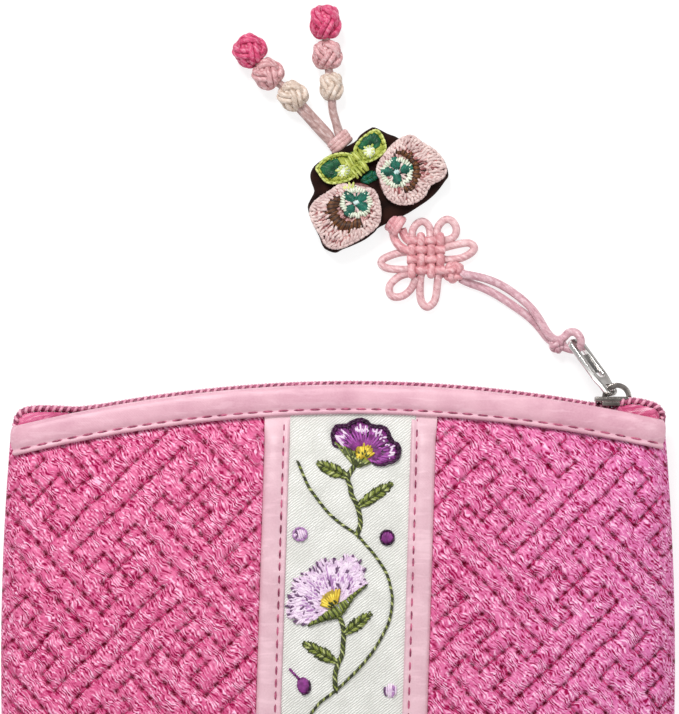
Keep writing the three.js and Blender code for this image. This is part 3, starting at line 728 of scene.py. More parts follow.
def make_tape():
    made = Finish("zip_tape", roughness=0.72, sheen=0.3, sheen_tint=(250, 170, 200), specular=0.35)
    weave = made.effect(WEAVE, Count=4400)
    fibre = made.effect(FIBRE, Fine=3000, Broad=300)
    crease = made.effect(CRINKLE, Slant=-0.2, Across=1300, Along=260)
    base = made.mix(fibre["Dye"], (198, 72, 122), (222, 112, 154))
    woven = made.mix(weave["Height"], base, (236, 156, 186), 0.35)
    # Painted shade in the crinkle hollows and painted highlights on their streaks
    hollow = made.mix(crease["HollowShade"], woven, (158, 36, 82), 0.65)
    made.colour(made.mix(crease["Streak"], hollow, (250, 204, 220), 0.7))
    made.bumps((weave["Height"], 0.6, 0.06), (crease["Height"], 0.5, 0.1))
    return made.material


def make_coil():
    made = Finish("zip_coil", roughness=0.38, specular=0.5)
    fibre = made.effect(FIBRE, Fine=2500, Broad=700)
    made.colour(made.mix(fibre["Dye"], (206, 128, 156), (232, 168, 188)))
    made.rough(fibre["Height"], 0.3, 0.5)
    made.bumps((fibre["Height"], 0.2, 0.03))
    return made.material


def make_nickel(name, light, deep):
    made = Finish(name, roughness=0.2, metallic=1.0)
    scratches = made.effect(CRINKLE, Slant=0.9, Across=2600, Along=240)
    cloud = made.effect(FIBRE, Fine=1800, Broad=320)
    base = made.mix(cloud["Dye"], deep, light)
    dull = made.mix(scratches["Streak"], base, (96, 92, 90), 0.4)
    # Painted highlight: the marked rims and sides are brightened to near white
    made.colour(made.mix(made.marked("painted_rim_highlight"), dull, (242, 241, 238)))
    made.rough(scratches["Height"], 0.16, 0.36)
    made.bumps((scratches["Height"], 0.12, 0.04), (cloud["Height"], 0.08, 0.03))
    return made.material


quilted_satin = make_quilted_satin()
satin_trim = make_smooth_satin("satin_trim", (211, 172, 182), (199, 156, 168))
satin_binding = make_smooth_satin("satin_binding", (217, 167, 181), (196, 138, 157))
white_satin = make_white_satin()
zip_tape = make_tape()
zip_coil = make_coil()
nickel = make_nickel("nickel", (176, 172, 169), (118, 113, 110))
# Painted reflection: the slider's nickel is painted darker, for the dark reflections on it
nickel_painted_dark = make_nickel("nickel_painted_dark", (182, 174, 169), (82, 74, 70))
# Painted shade: the web across the tab's window is much darker nickel, as shade in the window
web_nickel_painted_dark = make_nickel("web_nickel_painted_dark", (138, 133, 129), (60, 56, 54))
felt = make_felt()
pink_cord = make_cord("pink_cord", (218, 178, 186), (180, 130, 142), 60)
knot_cord = make_cord("knot_cord", (228, 170, 174), (190, 116, 124), 45)
petal_cord = make_cord("petal_cord", (230, 190, 192), (192, 136, 142), 50)
dusty_pink = make_cord("dusty_pink", (220, 180, 178), (180, 132, 132), 60)
dusty_cord = make_cord("dusty_cord", (194, 160, 156), (150, 116, 112), 60)
cream_cord = make_cord("cream_cord", (226, 208, 194), (180, 156, 138), 45)
light_cord = make_cord("light_cord", (224, 176, 178), (172, 110, 114), 45)
deep_cord = make_cord("deep_cord", (222, 84, 128), (166, 22, 74), 45)
quilt_thread = make_thread("quilt_thread", (208, 66, 124), (176, 32, 92), 0.6, 0.1)
filler_cord = make_thread("filler_cord", (176, 82, 118), (124, 44, 78))
seam_thread = make_thread("seam_thread", (196, 98, 132), (112, 30, 64))


# Quilting

PUFF_REACH = 0.5
PUFF_ROUND = 0.55
PULL_DEPTH = 0.45
PULL_ACROSS = 0.075
PULL_PAST = 0.08
PULL_SHARP = 1.4
# Painted shade in stitch holes and along the stitched lines, and how far the painted crest glints reach
PULL_SHADE = 1.35
GROOVE_SHADE = 0.24
GROOVE_REACH = 0.11
CREST_REACH = 0.42
CREASE_HEIGHT = 0.2
STITCH_SHARES = np.array([0, 0.2, 0.5, 0.8, 1])
STITCH_BOW = np.array([-0.2, 0.08, 0.14, 0.08, -0.2])
STITCH_LIFT = 0.12
STITCH_GAP = 0.16
STRAY_REACH = 0.2
EDGE_CLEAR = 0.6
FRONT_SEAM_CLEAR = 1.5
BACK_SEAM_CLEAR = 4
BACK_EDGE_CLEAR = 1
BACK_THREAD_Z = 0.3
FRONT_THREAD_W = 0.27
BACK_THREAD_W = 0.34
THREAD_ENDS = 0.6
SEAM_FADE = (0.2, 3.2)
BINDING_FADE = (-0.6, 2.2)
TRIM_FADE = (-0.1, 1.8)
ROW_CROWDING = 1.25
COLUMN_CROWDING = 1.35


def fret_runs(along, across):
    """Every stitched line of these repeats of the fret, in fret steps"""
    runs = []
    for path in FRET_PATHS:
        for turn in (1, -1):
            for i in along:
                for j in across:
                    shift = FRET_REPEAT * np.array([i - j, i + j], float)
                    corners = [turn * np.array(corner, float) + shift for corner in path]
                    runs.extend(zip(corners, corners[1:]))
    return runs


def fret_steps(x, y):
    """Points in fret steps, moved into one repeat"""
    flat = np.stack([x, y], -1) - FRET_ORIGIN
    steps = flat @ np.linalg.inv(np.array([FRET_STEP_A, FRET_STEP_B]))
    along = (steps[..., 0] + steps[..., 1]) / (2 * FRET_REPEAT)
    across = (steps[..., 1] - steps[..., 0]) / (2 * FRET_REPEAT)
    along = along - np.floor(along)
    across = across - np.floor(across)
    return FRET_REPEAT * (along - across), FRET_REPEAT * (along + across)


def near_segments():
    """The stitched lines in one repeat and up to a step beside it"""
    reach = FRET_REPEAT + 1
    kept = []
    for start, end in fret_runs(range(-2, 4), range(-3, 3)):
        low = np.minimum(start, end)
        high = np.maximum(start, end)
        if low[0] < reach and high[0] > -reach and low[1] < reach + FRET_REPEAT and high[1] > -1:
            kept.append((start, end))
    return kept


NEAR_SEGMENTS = near_segments()


def stitch_count(length):
    return max(2, round(length * FRET_UNIT / QUILT_STITCH))


def stray(x, y):
    """How far the quilting strays from its drawn lines"""
    right = STRAY_REACH * np.sin(x / 2.9 + 1.9 * np.sin(y / 4.1))
    up = STRAY_REACH * np.sin(y / 2.7 + 2.1 * np.sin(x / 3.9))
    return right, up


def quilt_lines(x, y):
    """How far each point is from a stitched line, in fret steps, and how hard a stitch pulls it in"""
    right, up = stray(x, y)
    a, b = fret_steps(x + right, y + up)
    nearest = np.full(x.shape, float(FRET_REPEAT))
    pull = np.zeros(x.shape)
    for start, end in NEAR_SEGMENTS:
        run = end - start
        length = np.abs(run).sum()
        run = run / length
        along = (a - start[0]) * run[0] + (b - start[1]) * run[1]
        off = np.abs((a - start[0]) * run[1] - (b - start[1]) * run[0])
        past = np.maximum(np.maximum(-along, along - length), 0)
        nearest = np.minimum(nearest, np.hypot(off, past))
        pitch = length / stitch_count(length)
        phase = np.cos(2 * math.pi * along / pitch)
        fade = np.exp(-((off / PULL_ACROSS) ** 2) - (past / PULL_PAST) ** 2)
        pull = np.maximum(pull, fade * (0.5 + 0.5 * phase) ** PULL_SHARP)
    return nearest, pull


def quilt_relief(x, y):
    """Height of the padding over the stitched lines"""
    nearest, pull = quilt_lines(x, y)
    rise = np.clip(nearest / PUFF_REACH, 0, 1)
    rounded = (1 - (1 - rise) ** 2) ** PUFF_ROUND
    return QUILT_PUFF * rounded - PULL_DEPTH * pull


def mark_grooves(mesh):
    """How deep each point of the satin lies in a stitched groove, for painted shade there, and how far up
    on a crest, for painted glints
    """
    x, y, _ = places_of(mesh).T
    nearest, pull = quilt_lines(x, y)
    uneven = np.clip(0.9 + 1.5 * soft_noise(x / 1.1, y / 1.1, 2.0), 0.1, 2)
    line = np.clip(1 - nearest / GROOVE_REACH, 0, 1)
    mark(mesh, "groove", GROOVE_SHADE * line + PULL_SHADE * pull * uneven)
    # Painted highlight: the crests of the padding are marked for brighter glints
    mark(mesh, "crest", np.clip(nearest / CREST_REACH, 0, 1) ** 1.3)


def crinkles(x, y, slant, seed):
    """Creases in the satin, longer along the slant than across it"""
    cos, sin = math.cos(slant), math.sin(slant)
    along = (x * cos + y * sin) / 3.2
    across = (y * cos - x * sin) / 0.95
    return soft_noise(along, across, seed)


def quilt_points(side, left, right, across, up):
    base = wall_points(side, left, right, across, up, 0.0)
    x, y, _ = np.moveaxis(base, -1, 0)
    normal = normals_of(base)
    outward = np.where(normal[..., 2:] * side < 0, -normal, normal)
    below = top_edge(x) - y - BINDING_H
    at_seam = ease_between(seam_distance(x, y), *SEAM_FADE)
    fade = at_seam * ease_between(below, *BINDING_FADE)
    if side > 0:
        to_trim = np.abs(x - panel_axis(y)) - TRIM_EDGE
        fade = fade * ease_between(to_trim, *TRIM_FADE)
    creases = CREASE_HEIGHT * crinkles(x, y, -FRET_SLANT, 3.0 * side)
    relief = fade * (quilt_relief(x, y) + creases) - QUILT_SINK
    return base + outward * (relief * at_seam)[..., None]


def fret_stitches(inside, place):
    """The sewing thread of each stitch where inside says that there is quilting"""
    grid = np.array([FRET_STEP_A, FRET_STEP_B])
    strands = []
    for first, last in fret_runs(range(-8, 9), range(-8, 9)):
        count = stitch_count(np.abs(last - first).sum())
        for k in range(count):
            shares = np.array([k + STITCH_GAP, k + 1 - STITCH_GAP]) / count
            ends = first + (last - first) * shares[:, None]
            flat = FRET_ORIGIN + ends @ grid
            if inside(flat.mean(0)):
                line = flat[0] + (flat[1] - flat[0]) * STITCH_SHARES[:, None]
                line = line - np.stack(stray(line[:, 0], line[:, 1]), -1)
                strands.append(place(line, STITCH_BOW))
    return strands


def from_seam(count, power):
    return (np.arange(count + 1) / count) ** power


FRONT_ROWS = from_seam(300, ROW_CROWDING)


def quilt_piece(name, outer, inner):
    piece = wall_piece(f"{name}_cloth", outer, inner, quilted_satin, "quilted_satin", name)
    mark_grooves(piece.data)


def make_front_quilts():
    across = from_seam(150, COLUMN_CROWDING)
    thin_rows = from_seam(60, ROW_CROWDING)
    for name, left, right, columns in (
        ("front_quilt_left", side_seam(-1), panel_edge(-TRIM_EDGE), across),
        ("front_quilt_right", panel_edge(TRIM_EDGE), side_seam(1), 1 - across[::-1]),
    ):
        outer = quilt_points(1, left, right, columns, FRONT_ROWS)
        inner = wall_points(1, left, right, columns[::5], thin_rows, QUILT_T)
        quilt_piece(name, outer, inner)


def make_back_quilt():
    half = from_seam(110, COLUMN_CROWDING) / 2
    across = np.concatenate([half, 1 - half[:-1][::-1]])
    rows = from_seam(190, ROW_CROWDING)
    outer = quilt_points(-1, side_seam(-1), side_seam(1), across, rows)
    outer[..., 2] = np.maximum(outer[..., 2], LOWEST_Z)
    inner = wall_points(-1, side_seam(-1), side_seam(1), across[::5], rows[::5], QUILT_T)
    quilt_piece("back_quilt", outer, inner)


def front_z(x, y):
    return surface_z(1, x, y) + quilt_relief(x, y) - QUILT_SINK


def sew_quilt(name, strands, thick):
    strand_piece(name, strands, thick, quilt_thread, "quilted_satin", round_steps=0, ends=THREAD_ENDS)


def make_quilt_stitches():
    def in_front(p):
        x, y = p
        clear = seam_distance(x, y) > FRONT_SEAM_CLEAR and top_edge(x) - y > BINDING_H + EDGE_CLEAR
        return bool(clear and abs(x - panel_axis(y)) > TRIM_EDGE + EDGE_CLEAR)

    def on_front(line, lift):
        x, y = line[:, 0], line[:, 1]
        return np.stack([x, y, front_z(x, y) + lift + STITCH_LIFT], -1)

    strands = fret_stitches(in_front, on_front)
    sew_quilt("quilt_stitches", strands, FRONT_THREAD_W)

    def in_back(p):
        x, y = p
        return bool(seam_distance(x, y) > BACK_SEAM_CLEAR and top_edge(x) - y > BINDING_H + BACK_EDGE_CLEAR)

    def on_back(line, lift):
        x, y = line[:, 0], line[:, 1]
        z = surface_z(-1, x, y) - quilt_relief(x, y) + QUILT_SINK - lift - STITCH_LIFT
        return np.stack([x, y, np.maximum(z, BACK_THREAD_Z)], -1)

    strands = fret_stitches(in_back, on_back)
    sew_quilt("back_stitches", strands, BACK_THREAD_W)


# Embroidered panel and trims

PANEL_SINK = 0.75
PANEL_TUCK = 0.8
PANEL_T = 0.5
PANEL_SWELL = 0.12


def panel_swell(x, y):
    """Low soft swellings of the white satin"""
    return PANEL_SWELL * soft_noise(x / 6, y / 6, 5.0)


def make_panel():
    across = np.linspace(0, 1, 61)
    left = panel_edge(-PANEL_HALF - PANEL_TUCK)
    right = panel_edge(PANEL_HALF + PANEL_TUCK)
    outer = wall_points(1, left, right, across, FRONT_ROWS[::2], 0.0, PANEL_SINK)
    outer[..., 2] += panel_swell(outer[..., 0], outer[..., 1])
    inner = outer - np.array([0, 0, PANEL_T])
    piece = wall_piece("white_panel", outer, inner, white_satin, "white_satin", "embroidered_panel")


def panel_z(x, y):
    x = np.asarray(x, float)
    y = np.asarray(y, float)
    inset = PANEL_SINK * pressing(top_edge(x) - y)
    return surface_z(1, x, y, inset) + panel_swell(x, y)


TRIM_OFFSETS = [0, 0.05, 0.2, 0.5, 0.8, 1.05, 1.3, 1.7, 2.4, 3.2, 3.9, 4.3, 4.5, 4.6]
TRIM_LIFTS = [-0.45, -0.1, 0.2, 0.32, 0.22, 0.08, 0.22, 0.42, 0.52, 0.5, 0.36, 0.12, -0.2, -0.5]
TRIM_STITCH = 1.05
TRIM_BOW = np.array([-0.15, 0.1, 0.16, 0.1, -0.15])
TRIM_SINK = 0.4
TRIM_DEEP = 1.3
TRIM_THREAD_W = 0.33


def seam_runs(start, end, length, pitch, uneven):
    """Five places along each stitch of a seam, from one end to the other"""
    while start < end:
        yield np.linspace(start, start + length, 5)
        start += pitch + wobble(uneven)


def sew_seam(name, stitches, thick):
    strand_piece(f"{name}_stitches", stitches, thick, seam_thread, "satin_trim", ends=THREAD_ENDS)


def make_trims():
    share = np.array(TRIM_OFFSETS) / TRIM_OFFSETS[-1]
    for name, sign in (("panel_trim_left", -1), ("panel_trim_right", 1)):
        inner_edge = panel_edge(sign * PANEL_HALF)
        outer_edge = panel_edge(sign * TRIM_EDGE)
        outer = wall_points(1, inner_edge, outer_edge, share, FRONT_ROWS, 0.0, TRIM_SINK)
        x, y, _ = np.moveaxis(outer, -1, 0)
        pressed = pressing(top_edge(x) - y)
        pucker = 0.1 * soft_noise(x / 4, y / 1.6, 9.0)
        outer[..., 2] += np.array(TRIM_LIFTS)[None, :] * pressed + pucker * pressed
        inner = outer.copy()
        inner[..., 2] = surface_z(1, x, y, TRIM_DEEP)
        wall_piece(f"{name}_satin", outer, inner, satin_trim, "satin_trim", name)
        stitches = []
        for y_run in seam_runs(start=-43.0, end=40.5, length=1.75, pitch=2.3, uneven=0.12):
            x_run = panel_axis(y_run) + sign * (PANEL_HALF + TRIM_STITCH)
            z_run = surface_z(1, x_run, y_run, TRIM_SINK) + 0.1 + TRIM_BOW
            if top_edge(x_run[2]) - y_run[2] > BINDING_H + 0.5:
                stitches.append(np.stack([x_run, y_run, z_run], -1))
        sew_seam(name, stitches, TRIM_THREAD_W)


# Binding


def binding_points(side, x, below, lift):
    step = 0.05
    y = top_edge(x) - below
    slope_x = (surface_z(side, x + step, y) - surface_z(side, x - step, y)) / (2 * step)
    slope_y = (surface_z(side, x, y + step) - surface_z(side, x, y - step)) / (2 * step)
    normal = np.stack([-slope_x, -slope_y, np.ones_like(x)], -1)
    normal = normal / np.linalg.norm(normal, axis=-1, keepdims=True) * side
    base = np.stack([x, y, surface_z(side, x, y)], -1)
    return base + normal * lift[..., None]


BINDING_BELOW = [5.3, 5.36, 5.3, 5.05, 4.75, 4.5, 4.25, 3.8, 3.1, 2.3, 1.5, 0.8, 0.3, 0.05, 0, 0.1]
BINDING_LIFT = [0.1, 0.4, 0.7, 0.92, 0.86, 0.7, 0.85, 1.15, 1.32, 1.36, 1.3, 1.15, 0.85, 0.4, -0.4, -1.2]
BINDING_STITCH = 4.5
BINDING_BOW = np.array([0.55, 0.86, 0.92, 0.86, 0.55])
BINDING_T = 0.25
BINDING_THREAD_W = 0.3
END_CROWDING = 0.94


def make_binding(name, side):
    end = BINDING_END * float(half_width(top_edge(HALF_WIDTH)))
    quarter = math.pi / 2 * END_CROWDING
    columns = end * np.sin(np.linspace(-quarter, quarter, 361)) / math.sin(quarter)
    x, below = np.meshgrid(columns, np.array(BINDING_BELOW))
    lift = np.broadcast_to(np.array(BINDING_LIFT)[:, None], x.shape).copy()
    on_top = np.clip(lift - 0.5, 0, 1)
    lift += 0.12 * soft_noise(x / 5, below / 2.2, 21.0 * side) * on_top
    outer = binding_points(side, x, below, lift)
    outer[..., 2] = np.maximum(outer[..., 2], LOWEST_Z)
    inner_lift = np.minimum(lift - BINDING_T, np.where(below > 0.9, 0.12, -0.5))
    inner_below = np.maximum(below, 0.35)
    inner = binding_points(side, x, inner_below, inner_lift)
    wall_piece(f"{name}_satin", outer, inner, satin_binding, "satin_trim", name)
    stitches = []
    for x_run in seam_runs(start=-57.0, end=56.5, length=2.1, pitch=2.75, uneven=0.15):
        stitches.append(binding_points(side, x_run, np.full(5, BINDING_STITCH), BINDING_BOW))
    sew_seam(name, stitches, BINDING_THREAD_W)


# Zip

CHAIN_BEND = 54.6
ZIP_LEAN = 1.9
CHAIN_LEFT_END = [(-57.75, 36.0), (-58.1, 37.6), (-57.8, 39.1), (-56.7, 40.3)]
CHAIN_RIGHT_END = [(56.4, 41.5), (57.7, 40.8), (58.5, 39.6), (58.5, 38.2)]
TAPE_END = 57.9
TAPE_APART = 1.3
TAPE_T = 0.5
TAPE_TUCK = 6
TAPE_BELOW_COIL = 0.6
TAPE_BULGE = 0.35
TAPE_CLOSING = 0.5
TAPE_FREE = (50, 53)
TAPE_CLOSES = (56.5, 58.2)
CHAIN_TURN = 2.6
LEAN_FROM = (49.4, 51.2)
LEAN_TO = (57.0, 59.2)
COIL_BELOW_TOP = 0.58
COIL_STEPS = 10
COIL_APART = 0.72
COIL_WIDE = 0.86
COIL_TALL = 0.42
COIL_WIRE = 0.58
FILLER_D = 1.0


def zip_puff(x):
    from_end = CHAIN_END - np.abs(x)
    left = smooth_table(from_end, PUFF_FROM_END, PUFF_LEFT)
    right = smooth_table(from_end, PUFF_FROM_END, PUFF_RIGHT)
    return np.where(x < 0, left, right)


def zip_lean(x):
    """How far the zip's end right of the slider leans to the front"""
    return ZIP_LEAN * ease_between(x, *LEAN_FROM) * (1 - ease_between(x, *LEAN_TO))


def chain_top(x):
    return top_edge(x) + CHAIN_PROUD + zip_puff(x)


def chain_line():
    """Middle of the coils from end to end; both ends turn down behind the binding"""
    x = np.linspace(-CHAIN_BEND, CHAIN_BEND, 180)
    middle = list(zip(x, chain_top(x) - COIL_BELOW_TOP))
    flat = smooth_path(CHAIN_LEFT_END + middle[::3] + CHAIN_RIGHT_END, 6)
    return flat, lengths_along(flat)


def make_zip():
    flat, lengths = chain_line()
    turns = int(lengths[-1] / COIL_PITCH)
    coils = []
    for side in (-1, 1):
        turn = np.arange(turns * COIL_STEPS + 1) / COIL_STEPS
        angle = turn * 2 * math.pi
        at = np.clip((turn + (0.25 if side > 0 else 0.75)) * COIL_PITCH, 0, lengths[-1])
        x, y = (np.interp(at, lengths, flat[:, i]) for i in (0, 1))
        run = np.gradient(np.stack([x, y], -1), axis=0)
        run = run / np.maximum(np.linalg.norm(run, axis=1, keepdims=True), 1e-6)
        swing = COIL_TALL * np.sin(angle)
        z = SEAM_Z + zip_lean(x) + side * COIL_APART + side * COIL_WIDE * np.cos(angle)
        coils.append(np.stack([x - run[:, 1] * swing, y + run[:, 0] * swing, z], -1))
    strand_piece("zip_coils", coils, COIL_WIRE, zip_coil, "zip_coil", "zip_chain")
    x, y = flat[::2].T
    fillers = [np.stack([x, y, SEAM_Z + zip_lean(x) + side * COIL_APART], -1) for side in (-1, 1)]
    strand_piece("zip_filler_cords", fillers, FILLER_D, filler_cord, "zip_tape", round_steps=2)
    rising = flat[(lengths > CHAIN_TURN) & (lengths < lengths[-1] - CHAIN_TURN)]
    for name, side in (("zip_tape_front", 1), ("zip_tape_back", -1)):
        x = np.linspace(-TAPE_END, TAPE_END, 240)
        free = ease_between(np.abs(x), *TAPE_FREE)
        top = np.interp(x, rising[:, 0], rising[:, 1]) - TAPE_BELOW_COIL
        bottom = top_edge(x) - TAPE_TUCK + TAPE_TUCK / 2 * free
        rise = np.linspace(0, 1, 9)[:, None]
        y = bottom + (top - bottom) * rise
        bulge = TAPE_BULGE * np.sin(math.pi * rise) * free
        closing = TAPE_CLOSING * ease_between(np.abs(x), *TAPE_CLOSES)
        z = SEAM_Z + zip_lean(x) * rise + side * (TAPE_APART + bulge - closing)
        outer = np.stack([np.broadcast_to(x, y.shape), y, z], -1)
        inner = outer - np.array([0, 0, side * TAPE_T])
        wall_piece(f"{name}_weave", outer, inner, zip_tape, "zip_tape", name)


def bevelled_box(bm, low, high, width):
    made = bmesh.ops.create_cube(bm, size=1)
    low = np.array(low, float)
    high = np.array(high, float)
    for vertex in made["verts"]:
        corner = np.array(vertex.co)
        vertex.co = Vector((low + (corner + 0.5) * (high - low)) * MM)
    edges = list({edge for vertex in made["verts"] for edge in vertex.link_edges})
    bmesh.ops.bevel(
        bm, geom=edges, offset=width * MM, affect="EDGES", segments=2, profile=0.5, material=-1
    )


PLATE_EDGE = 0.3
FLANGE_T = 0.9
FLANGE_EDGE = 0.2
FLANGE_FROM_LEFT = 1.2
FLANGE_FROM_RIGHT = 0.4
FLANGE_INTO_PLATE = 0.2
BRIDGE_INSIDE = 1.72
BRIDGE_OUTSIDE = 2.65
BRIDGE_HALF = 0.6
BRIDGE_SINK = 0.15


def make_slider():
    bm = bmesh.new()
    half = SLIDER_W / 2
    left = SLIDER_X - SLIDER_L / 2
    right = SLIDER_X + SLIDER_L / 2
    plate_low = (left, PLATE_BOTTOM, SEAM_Z - half)
    plate_high = (right, PLATE_TOP, SEAM_Z + half)
    bevelled_box(bm, plate_low, plate_high, PLATE_EDGE)
    flange_left = left + FLANGE_FROM_LEFT
    flange_right = right - FLANGE_FROM_RIGHT
    foot = float(top_edge(flange_left)) + 0.2
    head = PLATE_BOTTOM + FLANGE_INTO_PLATE
    for side in (-1, 1):
        back, front = sorted((SEAM_Z + side * half, SEAM_Z + side * (half - FLANGE_T)))
        bevelled_box(bm, (flange_left, foot, back), (flange_right, head, front), FLANGE_EDGE)
    middle = Vector((BRIDGE_X, PLATE_TOP - BRIDGE_SINK, SEAM_Z))
    section = []
    for depth, radii in (
        (-BRIDGE_HALF, (BRIDGE_INSIDE, BRIDGE_OUTSIDE)),
        (BRIDGE_HALF, (BRIDGE_OUTSIDE, BRIDGE_INSIDE)),
    ):
        for radius in radii:
            section.append(bm.verts.new((middle + Vector((radius, 0, depth))) * MM))
    bar = bm.faces.new(section)
    bmesh.ops.spin(
        bm,
        geom=[bar, *bar.edges, *bar.verts],
        cent=middle * MM,
        axis=(0, 0, 1),
        angle=math.pi,
        steps=20,
        use_merge=False,
    )
    bmesh.ops.recalc_face_normals(bm, faces=bm.faces)
    piece = finished("slider_metal", mesh_from("slider_metal", bm), nickel_painted_dark, "nickel", "zip_slider")
    soften = piece.modifiers.new("edges", "BEVEL")
    soften.width = 0.12 * MM
    soften.segments = 2
    soften.limit_method = "ANGLE"
    soften.angle_limit = math.radians(50)
    keen = piece.modifiers.new("faces", "WEIGHTED_NORMAL")
    keen.keep_sharp = True


TAB_HEADING = math.radians(125.5)
TAB_DROP = math.radians(15)
TAB_TWIST = math.radians(28)
TAB_ARCH = math.radians(135)
TAB_LENGTH = 11.2
TAB_BAR = 1.0
TAB_HALF = 2.3
TAB_T = 1.0
TAB_RIM = 0.22
TAB_CORNER = 1.3
WEB_T = 0.3
WEB_RIM = 0.05
HANG_REACH = 2.125
HANG_RISE = 2.0


def tab_axes():
    """How the tab lies: along it, across it, through it, and where it hangs on the bridge"""
    ahead = Vector((math.cos(TAB_HEADING), math.sin(TAB_HEADING), 0))
    along = ahead * math.cos(TAB_DROP) + Vector((0, 0, -math.sin(TAB_DROP)))
    level = Vector((-math.sin(TAB_HEADING), math.cos(TAB_HEADING), 0))
    upright = along.cross(level)
    if upright.z < 0:
        upright = -upright
    across = upright * math.cos(TAB_TWIST) + level * math.sin(TAB_TWIST)
    through = along.cross(across)
    hang_x = BRIDGE_X + HANG_REACH * math.cos(TAB_ARCH)
    hang_y = PLATE_TOP + HANG_RISE * math.sin(TAB_ARCH)
    return along, across, through, Vector((hang_x, hang_y, SEAM_Z))


ALONG, ACROSS, THROUGH, HANG = tab_axes()


def rounded_loop(x0, x1, half, radius, steps=5):
    """A flat box with rounded corners, from x0 to x1 and as far as half to both sides"""
    corners = (
        (x1 - radius, half - radius, 0),
        (x0 + radius, half - radius, 90),
        (x0 + radius, radius - half, 180),
        (x1 - radius, radius - half, 270),
    )
    loop = []
    for x, y, start in corners:
        for k in range(steps + 1):
            angle = math.radians(start + 90 * k / steps)
            loop.append((x + radius * math.cos(angle), y + radius * math.sin(angle)))
    return loop


def mark_painted_rim_highlight(mesh, thick, rim):
    """Painted highlight on the rims and sides of a flat plate, brightening its colour there"""
    below = thick / 2 - np.abs(places_of(mesh)[:, 2])
    mark(mesh, "painted_rim_highlight", 1.5 * below / rim)


def make_tab():
    far_end = [point for point in rounded_loop(0, TAB_LENGTH, TAB_HALF, TAB_CORNER) if point[0] > 8]
    neck = [(-1.39, -1.1), (-1.0, -1.6), (-0.4, -1.85), (1.0, -1.85), (1.9, -2.15), (2.8, -TAB_HALF)]
    outline = [
        *neck,
        *[point for point in far_end if point[1] < 0],
        *[point for point in far_end if point[1] > 0],
        *[(x, -y) for x, y in neck[::-1]],
    ]
    eye = rounded_loop(-0.69, 0.69, 1.1, 0.4)
    window = rounded_loop(2.4, TAB_LENGTH - TAB_BAR, 1.2, 0.9)
    mesh = flat_outline("tab_metal", [outline, eye[::-1], window[::-1]], TAB_T, TAB_RIM, 3)
    mark_painted_rim_highlight(mesh, TAB_T, TAB_RIM)
    # The web is painted dark, as shade inside the tab's window
    web = flat_outline("tab_web", [rounded_loop(3.7, 7.7, 1.35, 0.3)], WEB_T, WEB_RIM, 1)
    turn = Matrix((ALONG, ACROSS, THROUGH)).transposed().to_4x4()
    turn.translation = HANG * MM
    mesh.transform(turn)
    web.transform(turn)
    finished("tab_web", web, web_nickel_painted_dark, "nickel")
    finished("tab_metal", mesh, nickel, "nickel", "pull_tab")


# Cord charm

CORD_D = 1.5
RING_ACROSS = 1.7
RING_ALONG = 1.95
RING_SLACK = 0.35
RING_KNOT = (39.7, 52.3, 1.8)
UPPER_STRAND = [
    (38.2, 53.8, 2.5), (37.3, 55.4, 2.45), (35.8, 57.9, 2.2), (34.0, 59.9, 1.8), (31.6, 61.8, 1.3),
    (29.2, 63.3, 1.3), (26.5, 64.3, 1.9), (24.7, 64.7, 2.35), (23.6, 64.9, 2.4), (22.2, 65.1, 2.0),
]
LOWER_STRAND = [
    (37.85, 53.45, 0.8), (36.9, 54.9, 0.8), (35.5, 56.5, 0.8), (33.7, 58.0, 0.8), (31.5, 59.5, 0.8),
    (29.1, 61.1, 0.8), (26.2, 62.6, 0.8), (23.5, 63.5, 0.8), (22.2, 64.2, 1.2),
]
LOWER_KNOT = (21.0, 65.4, 1.75)
UPPER_KNOT = (10.4, 74.2, 1.7)
WEAVE_COLUMNS = [13.35, 15.0, 16.85, 18.5]
WEAVE_ROWS = [71.1, 69.45, 67.7, 65.75]
WEAVE_Z = 1.65
WEAVE_RISE = 0.52
WEAVE_LIFT = 0.12
WEAVE_OVER = 0.9
WEAVE_STEPS = 40
WEAVE_D = 1.55
PETAL_D = 1.42
PETAL_Z = 0.85
PETALS = [
    [(13.5, 70.9), (13.5, 72.8), (14.2, 74.1), (15.4, 74.6), (16.5, 73.6), (16.8, 71.0)],
    [
        (18.2, 71.0), (18.0, 73.3), (19.2, 74.8), (20.5, 74.8),
        (21.4, 73.5), (21.2, 72.1), (20.0, 71.3), (18.2, 71.2),
    ],
    [
        (18.4, 69.6), (21.0, 70.3), (23.6, 70.7), (24.7, 69.9),
        (24.1, 68.9), (22.4, 68.0), (20.4, 67.7), (18.2, 67.7),
    ],
    [
        (13.4, 69.0), (11.6, 69.0), (9.7, 68.5), (8.1, 67.7),
        (7.9, 66.8), (9.0, 66.1), (11.2, 65.9), (13.2, 65.9),
    ],
    [
        (13.6, 65.3), (11.8, 64.9), (10.5, 64.2), (9.4, 63.0), (9.4, 61.6),
        (10.3, 60.9), (11.9, 61.2), (13.3, 62.5), (14.2, 64.6),
    ],
    [(15.0, 65.4), (14.85, 61.7), (15.2, 59.9), (16.2, 59.1), (17.3, 59.9), (17.8, 61.5), (18.2, 65.4)],
]
CORNER_CORDS = [
    [(9.9, 73.2, 1.6), (10.2, 71.6, 1.2), (11.0, 70.3, 1.5), (12.2, 69.5, 1.9), (13.4, 69.3, 2.1)],
    [(11.6, 73.2, 1.6), (12.1, 71.9, 1.3), (12.8, 71.1, 1.8), (13.6, 70.6, 2.1)],
]


def ring_points(count=28, mouth=44):
    """Round the tab's end bar, open towards the ring's knot"""
    towards = THROUGH if THROUGH.x < 0 else -THROUGH
    centre = HANG + ALONG * (TAB_LENGTH - TAB_BAR / 2 + RING_SLACK)
    ring = []
    for k in range(count + 1):
        angle = math.radians(mouth + (360 - 2 * mouth) * k / count)
        aside = towards * (RING_ACROSS * math.cos(angle))
        ring.append(tuple(centre + aside + ALONG * (RING_ALONG * math.sin(angle))))
    return ring


